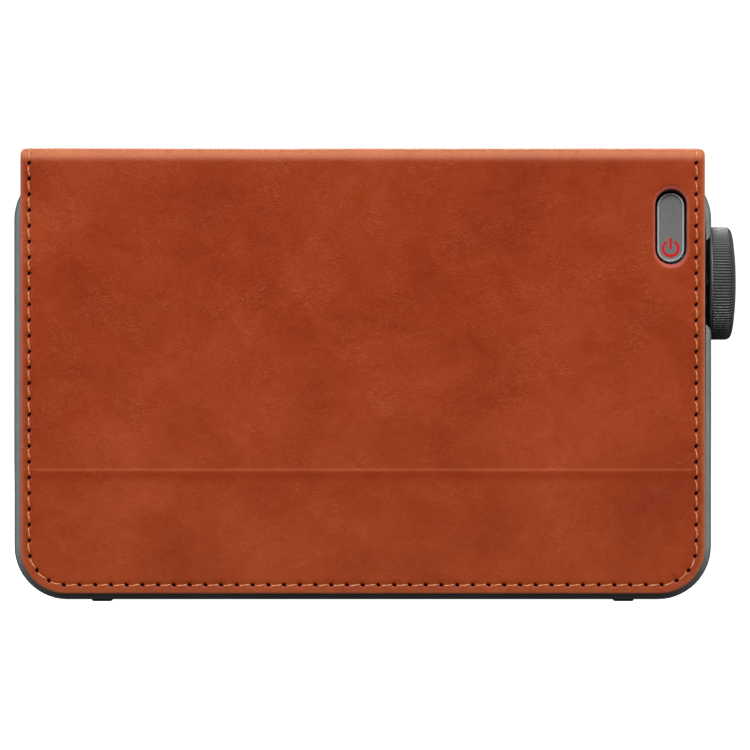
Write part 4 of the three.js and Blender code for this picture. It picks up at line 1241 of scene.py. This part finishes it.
def make_keys():
    for key in KEYS:
        low, high = box_mm(key)
        at = (low + high) / 2
        left, right, bottom, top = grown(key, -KEY_FLANGE)
        outline = lambda inset: rounded_rectangle(
            left + inset, right - inset, bottom + inset, top - inset, 2.0 - 0.5 * inset, 6)
        front = low.y
        profile = [(0, PANEL_BACK + 0.3), (0, front + 0.55), (0.05, front + 0.3), (0.2, front + 0.1),
                   (0.5, front + 0.0), (1.2, front + 0.05), (2.2, front + 0.13), (3.4, front + 0.17)]
        cap = lofted(key + "_cap", outline, profile, [MATERIAL["key"]])
        cap.data.set_sharp_from_angle(angle=math.radians(50))
        place(cap, key, [key], "key_plastic")
        label = key.split("_")[1]
        if label.isdigit():
            mark = text_mesh(key + "_mark", label, 5.2, at.x, at.z, front + 0.15, MATERIAL["print"])
        elif label == "band":
            bars = [prism("bar", rounded_rectangle(at.x - 3 + k * 2, at.x - 2 + k * 2, at.z - 1.8,
                                                   at.z - 0.6 + k * 0.8, 0.3, 3),
                          front + 0.08, front + 0.2, MATERIAL["print"]) for k in range(4)]
            mark = joined(key + "_mark", bars)
        else:
            dots = [prism("dot", pill(at.x + k * 2.6, at.z, 1.3, 1.31, 10), front + 0.08, front + 0.2,
                          MATERIAL["print"]) for k in (-1, 0, 1)]
            mark = joined(key + "_mark", dots)
        place(mark, key)


make_power_button()
make_keys()

# ------------------------------------------------------------------ display and speaker

SEGMENTS = {"0": "abcdef", "1": "bc", "2": "abdeg", "3": "abcdg", "4": "bcfg", "5": "acdfg", "6": "acdefg",
            "7": "abc", "8": "abcdefg", "9": "abcdfg"}


def digit_bars(digit, x, z, width, height, front, rear):
    """The lit bars of one seven-segment digit, its lower left corner at x, z."""
    thick = width * 0.17
    gap = thick * 0.25
    half = height / 2
    spots = {
        "a": (thick, height - thick, width - thick, height),
        "b": (width - thick, half + gap, width, height - thick),
        "c": (width - thick, thick, width, half - gap),
        "d": (thick, 0, width - thick, thick),
        "e": (0, thick, thick, half - gap),
        "f": (0, half + gap, thick, height - thick),
        "g": (thick, half - thick / 2, width - thick, half + thick / 2),
    }
    parts = []
    for segment in SEGMENTS[digit]:
        x0, z0, x1, z1 = spots[segment]
        lean = 0.12
        corners = [(x0 + lean * z0, z0), (x1 + lean * z0, z0), (x1 + lean * z1, z1), (x0 + lean * z1, z1)]
        parts.append(prism("segment", [(x + a, z + b) for a, b in corners], front, rear, MATERIAL["segment"]))
    return parts


def make_display():
    low, high = box_mm("display_window")
    outline = inset_outline(low.x, high.x, low.z, high.z, 2.0, 8)
    window = lofted("window_glass", outline, edge_profile(low.y, high.y, 0.25, 0.15, 3), [MATERIAL["glass"]])
    place(window, "radio", ["display_window"], "window")
    left, right, bottom, _ = grown("display_window", -2)
    back = box_mm("display_module")[0].y
    parts = []
    x = left + 5
    for digit in "0930":
        parts += digit_bars(digit, x, bottom + 7, 7.5, 13, back - 0.12, back - 0.02)
        x += 11
    for k in range(5):
        parts.append(prism("level", rounded_rectangle(right - 12 + k * 2, right - 10.8 + k * 2, bottom + 7,
                                                      bottom + 9 + k * 1.4, 0.3, 2),
                           back - 0.12, back - 0.02, MATERIAL["segment"]))
    marks = 26
    for k in range(marks):
        at = left + 4 + k * (right - left - 8) / (marks - 1)
        height = 1.8 if k % 5 == 0 else 1.0
        tick = rounded_rectangle(at - 0.15, at + 0.15, bottom + 2.4, bottom + 2.4 + height, 0.1, 1)
        parts.append(prism("tick", tick, back - 0.12, back - 0.02, MATERIAL["segment"]))
    place(joined("display_marks", parts), "radio", slot="display")


def make_grille():
    """A round plate pierced by a close pattern of holes."""
    low, high = box_mm("speaker_grille")
    radius = (high.x - low.x) / 2
    centre = (low + high) / 2
    pitch, hole, corners = 2.9, 0.95, 10
    rim = [(centre.x + radius * math.cos(t), centre.z + radius * math.sin(t))
           for t in np.linspace(0, 2 * math.pi, 96, endpoint=False)]
    spots = []
    rows_up = int(radius / (pitch * 0.866)) + 1
    for row in range(-rows_up, rows_up + 1):
        for column in range(-14, 15):
            x = column * pitch + (row % 2) * pitch / 2
            z = row * pitch * 0.866
            if math.hypot(x, z) < radius - 5:
                spots.append((centre.x + x, centre.z + z))
    flat, edges = [Vector(p) for p in rim], [(i, (i + 1) % 96) for i in range(96)]
    loops = []
    for x, z in spots:
        start = len(flat)
        turns = [2 * math.pi * k / corners for k in range(corners)]
        flat += [Vector((x + hole * math.cos(turn), z + hole * math.sin(turn))) for turn in turns]
        loops.append(list(range(start, start + corners)))
        edges += [(start + k, start + (k + 1) % corners) for k in range(corners)]
    out, _, triangles, origins, _, _ = delaunay_2d_cdt(flat, edges, [list(range(96))], 1, 1e-6)
    middles = np.array([[sum(out[i][k] for i in t) / 3 for k in (0, 1)] for t in triangles])
    pierced = np.zeros(len(triangles), bool)
    for x, z in spots:
        pierced |= np.hypot(middles[:, 0] - x, middles[:, 1] - z) < hole * 0.9
    where = {origin[0]: k for k, origin in enumerate(origins) if origin}
    count = len(out)
    vertices = [Vector((p.x, y, p.y)) * MM for y in (low.y, high.y) for p in out]
    faces = []
    for triangle, skipped in zip(triangles, pierced):
        if not skipped:
            a, b, c = triangle
            faces += [(a, b, c), (count + c, count + b, count + a)]
    for loop in [list(range(96))] + loops:
        for k in range(len(loop)):
            i, j = where[loop[k]], where[loop[(k + 1) % len(loop)]]
            faces.append((i, j, count + j, count + i))
    grille = make_object("grille_plate", vertices, faces, [MATERIAL["dark"]], smooth=False)
    editable = bmesh.new()
    editable.from_mesh(grille.data)
    bmesh.ops.recalc_face_normals(editable, faces=editable.faces)
    editable.to_mesh(grille.data)
    editable.free()
    place(grille, "radio", ["speaker_grille"], "dark_plastic")


make_display()
make_grille()

# ------------------------------------------------------------------ tuning knob

RIBS = 118
RIB_DEPTH = 0.3


def make_knob():
    inner, outer = KNOB_LOW.x, KNOB_HIGH.x
    radius = (KNOB_HIGH.z - KNOB_LOW.z) / 2
    shoulder = outer - 1.15
    plain = [(0, inner), (radius - 0.7, inner), (radius - 0.3, inner + 0.12), (radius - 0.2, inner + 0.35),
             (radius - 0.22, inner + 0.62), (radius - 0.4, inner + 0.7)]
    ribbed = [(radius - 0.1, inner + 0.78), (radius, inner + 0.95), (radius, shoulder - 1.3),
              (radius - 0.1, shoulder - 0.8), (radius - 0.42, shoulder - 0.3),
              (radius - 0.9, shoulder + 0.02)]
    crown = [(radius - 1.5, shoulder + 0.24), (radius - 2.6, shoulder + 0.46),
             (radius * 0.55, shoulder + 0.88), (radius * 0.25, shoulder + 1.09), (0, outer)]
    profile = plain + ribbed + crown
    strength = [0.25] * (len(plain) - 1) + [0.9, 1.0, 1.0, 1.0, 0.85, 0.4] + [0.0] * len(crown)
    shape = (0.0, 0.0, -0.75, -1.0, -0.75)
    per_rib = len(shape)

    def ripple(level, k):
        return RIB_DEPTH * shape[k % per_rib] * strength[level]

    knob = turned("knob_ribbed", profile, (0, KNOB.y, KNOB.z), (1, 0, 0),
                  [MATERIAL["knob"], MATERIAL["dark"]], RIBS * per_rib, ripple)
    # The faces deep in the grooves between the ribs take the dark plastic: painted shade in the grooves.
    kinds = [0] * len(knob.data.polygons)
    for face in knob.data.polygons:
        corners = [knob.data.vertices[i].co for i in face.vertices]
        middle = sum(corners, Vector()) / len(corners)
        reach = math.hypot(middle.y / MM - KNOB.y, middle.z / MM - KNOB.z)
        across = middle.x / MM
        if inner + 0.9 < across < shoulder + 0.1 and reach < radius - RIB_DEPTH * 0.72:
            kinds[face.index] = 1
    knob.data.polygons.foreach_set("material_index", kinds)
    knob.data.polygons.foreach_set("use_smooth", [True] * len(knob.data.polygons))
    knob.data.set_sharp_from_angle(angle=math.radians(50))
    place(knob, "tuning", ["tuning_knob"], "dark_plastic")


make_knob()

# ------------------------------------------------------------------ antenna


def make_antenna():
    bodies = {1: "antenna_rod", 2: "antenna_rod_2", 3: "antenna_rod_3", 4: "antenna_rod_4"}
    for number, body in bodies.items():
        node = f"antenna_section_{number}"
        low, high = box_mm(node)
        radius = (high.z - low.z) / 2
        lip = radius * 0.93
        profile = [(0, low.x), (lip, low.x), (radius, low.x + 0.3), (radius, high.x - 1.2),
                   (lip, high.x - 0.9), (lip, high.x - 0.5), (lip * 0.92, high.x - 0.1)]
        if number < 4:
            bore = radius - 0.35
            profile += [(bore, high.x), (bore, high.x - 3), (0, high.x - 3)]
        else:
            profile += [(0, high.x)]
        at = (low + high) / 2
        tube = turned(f"antenna_tube_{number}", profile, (0, at.y, at.z), (1, 0, 0), [MATERIAL["chrome"]], 32)
        place(tube, body, [node], "chrome")
    low, high = box_mm("antenna_tip")
    at = (low + high) / 2
    radius = (high.z - low.z) / 2
    run = high.x - low.x
    profile = [(0, low.x), (radius * 0.7, low.x), (radius * 0.93, low.x + run * 0.08),
               (radius, low.x + run * 0.22), (radius, low.x + run * 0.7),
               (radius * 0.9, low.x + run * 0.88), (radius * 0.62, low.x + run * 0.97), (0, high.x)]
    tip = turned("antenna_cap", profile, (0, at.y, at.z), (1, 0, 0), [MATERIAL["chrome"]], 40)
    place(tip, "antenna_rod_4", ["antenna_tip"], "chrome")


make_antenna()

# ------------------------------------------------------------------ back, feet and fittings


def make_battery_door():
    low, high = box_mm("battery_door")
    outline = inset_outline(low.x, high.x, low.z, high.z, 2.0, 8)
    door = lofted("door_panel", outline, edge_profile(low.y, high.y, 0, 0.4, 4), [MATERIAL["case_rear"]])
    at = (low + high) / 2
    recess = (at.x - 11, at.x + 11, high.z - 12, high.z - 4)
    cut(door, [prism("notch", rounded_rectangle(*recess, 1.6, 6), high.y - 0.9, high.y + 0.5)])
    ribs = []
    for k in range(4):
        z = high.z - 11 + k * 2
        ribs.append(prism("rib", rounded_rectangle(at.x - 9.8, at.x + 9.8, z - 0.35, z + 0.35, 0.34, 4),
                          high.y - 0.95, high.y - 0.2, MATERIAL["case_rear"]))
    soften(door, 0.15)
    grip = joined("door_grip", ribs)
    soften(grip, 0.12)
    place(door, "battery_door", ["battery_door"], "case_plastic")
    place(grip, "battery_door", slot="case_plastic")


def make_screws():
    for screw in SCREWS:
        low, high = box_mm(screw)
        at = (low + high) / 2
        top = high.y
        profile = [(0, top - 1.3), (2.4, top - 1.3), (2.5, top - 0.9), (2.35, top - 0.35), (1.8, top - 0.08),
                   (1.0, top), (0, top)]
        head = turned(screw + "_head", profile, (at.x, 0, at.z), (0, 1, 0), [MATERIAL["steel"]], 40)
        slots = [block("slot", (at.x - a, top - 0.8, at.z - b), (at.x + a, top + 1, at.z + b))
                 for a, b in ((1.45, 0.28), (0.28, 1.45))]
        cut(head, slots)
        soften(head, 0.06)
        profile = [(0, low.y), (1.0, low.y), (1.15, low.y + 0.5), (1.15, top - 1.2), (0, top - 1.2)]
        shank = turned(screw + "_shank", profile, (at.x, 0, at.z), (0, 1, 0), [MATERIAL["steel"]], 24)
        place(joined(screw + "_piece", [head, shank]), "radio", [screw], "steel")


def make_sockets():
    for socket in SOCKETS:
        low, high = box_mm(socket)
        at = (low + high) / 2
        side = low.x
        profile = [(0, high.x), (3.3, high.x), (3.4, side + 0.3), (3.1, side), (2.3, side),
                   (2.15, side + 0.25), (1.8, side + 0.5), (1.8, side + 9), (0, side + 9)]
        barrel = turned(socket + "_barrel", profile, (0, at.y, at.z), (1, 0, 0),
                        [MATERIAL["dark"], MATERIAL["steel"]], 48,
                        face_materials=lambda level: 1 if level >= 5 else 0)
        place(barrel, "radio", [socket], "dark_plastic")


def make_feet():
    for foot in FEET:
        low, high = box_mm(foot)
        outline = inset_outline(low.x, high.x, low.y, high.y, 1.2, 5)
        profile = [(0, high.z), (0, low.z + 0.5), (0.12, low.z + 0.2), (0.35, low.z)]
        rings = [[(x, y, z) for x, y in outline(inset)] for inset, z in profile]
        pad = stack(foot + "_pad", rings, [MATERIAL["foot"]])
        pad.data.set_sharp_from_angle(angle=math.radians(50))
        place(pad, "radio", [foot], "foot_rubber")


def make_snaps():
    for side in ("left", "right"):
        low, high = box_mm("snap_cap_" + side)
        at = (low + high) / 2
        radius = (high.x - low.x) / 2
        base = high.y - 0.9
        profile = [(0, low.y), (1.2, low.y), (1.2, base + 0.02), (radius - 0.15, base),
                   (radius, base + 0.15), (radius - 0.1, base + 0.4), (radius * 0.85, base + 0.55),
                   (radius * 0.78, base + 0.5), (radius * 0.6, base + 0.78), (radius * 0.3, base + 0.88),
                   (0, high.y)]
        cap = turned("snap_button_" + side, profile, (at.x, 0, at.z), (0, 1, 0), [MATERIAL["chrome"]], 48)
        place(cap, "radio", ["snap_cap_" + side], "chrome")


make_battery_door()
make_screws()
make_sockets()
make_feet()
make_snaps()

# ------------------------------------------------------------------ CAD nodes that keep their own shape

LOOKS = {
    "steel": ["speaker_frame", "tuning_encoder", "battery_contact_left", "battery_contact_right",
              "snap_stud_left", "snap_stud_right", "antenna_pin"],
    "chrome": ["antenna_swivel", "antenna_elbow"],
    "ferrite": ["speaker_magnet", "ferrite_rod"],
    "copper": ["ferrite_coil"],
    "board": ["main_board"],
    "paper": ["speaker_cone"],
    "lcd": ["display_module"],
    "dark": ["power_switch"],
    "pocket": ["tuning_shaft"],
    "cell": ["battery_cell_1", "battery_cell_2", "battery_cell_3", "battery_cell_4"],
}
for look, nodes in LOOKS.items():
    for node in nodes:
        frame["nodes"][node].data.materials.clear()
        frame["nodes"][node].data.materials.append(MATERIAL[look])

# ------------------------------------------------------------------ stage and light


def make_stage():
    white = Nodes("studio_white", 0.9, specular=0.1)
    white.shader.inputs["Emission Color"].default_value = (1, 1, 1, 1)
    white.shader.inputs["Emission Strength"].default_value = 1.05
    tone = white.noise(white.coordinates(), 3, 2)
    material = white.finish(white.ramp(tone, (0.3, (0.86, 0.86, 0.86)), (0.7, (0.9, 0.9, 0.9))))
    size, rise, radius = 9.0, 6.0, 0.6
    section = [(-size, 0.0), (size - radius, 0.0)]
    section += [(size - radius + radius * math.sin(t), radius - radius * math.cos(t))
                for t in np.linspace(0, math.pi / 2, 12)[1:]]
    section += [(size, rise)]
    vertices = [(x, y, z) for y, z in section for x in (-size, size)]
    faces = [(2 * k, 2 * k + 1, 2 * k + 3, 2 * k + 2) for k in range(len(section) - 1)]
    sweep = make_object("studio_sweep", vertices, faces, [material])
    sweep.visible_diffuse = False
    sweep.visible_glossy = False


def area_light(name, place_at, size, power, aim=(0, 0, 0.055)):
    data = bpy.data.lights.new(name, "AREA")
    data.shape = "DISK"
    data.size = size
    data.energy = power
    light = bpy.data.objects.new(name, data)
    light.location = place_at
    light.rotation_euler = (Vector(aim) - Vector(place_at)).to_track_quat("-Z", "Y").to_euler()
    bpy.context.scene.collection.objects.link(light)


def make_light():
    world = bpy.data.worlds.new("studio")
    world.use_nodes = True
    background = world.node_tree.nodes["Background"]
    background.inputs["Color"].default_value = (1, 1, 1, 1)
    background.inputs["Strength"].default_value = 0.1
    bpy.context.scene.world = world
    area_light("key_light", (0.0, -1.45, 1.2), 1.0, 44)
    area_light("top_light", (0.0, -0.3, 1.3), 0.9, 12)
    area_light("right_light", (1.4, -0.35, 0.35), 0.9, 14)
    area_light("left_light", (-1.4, -0.35, 0.35), 0.9, 12)
    area_light("back_light", (0.2, 1.5, 1.0), 0.9, 22)
    bpy.context.scene.view_settings.view_transform = "Standard"


make_stage()
make_light()
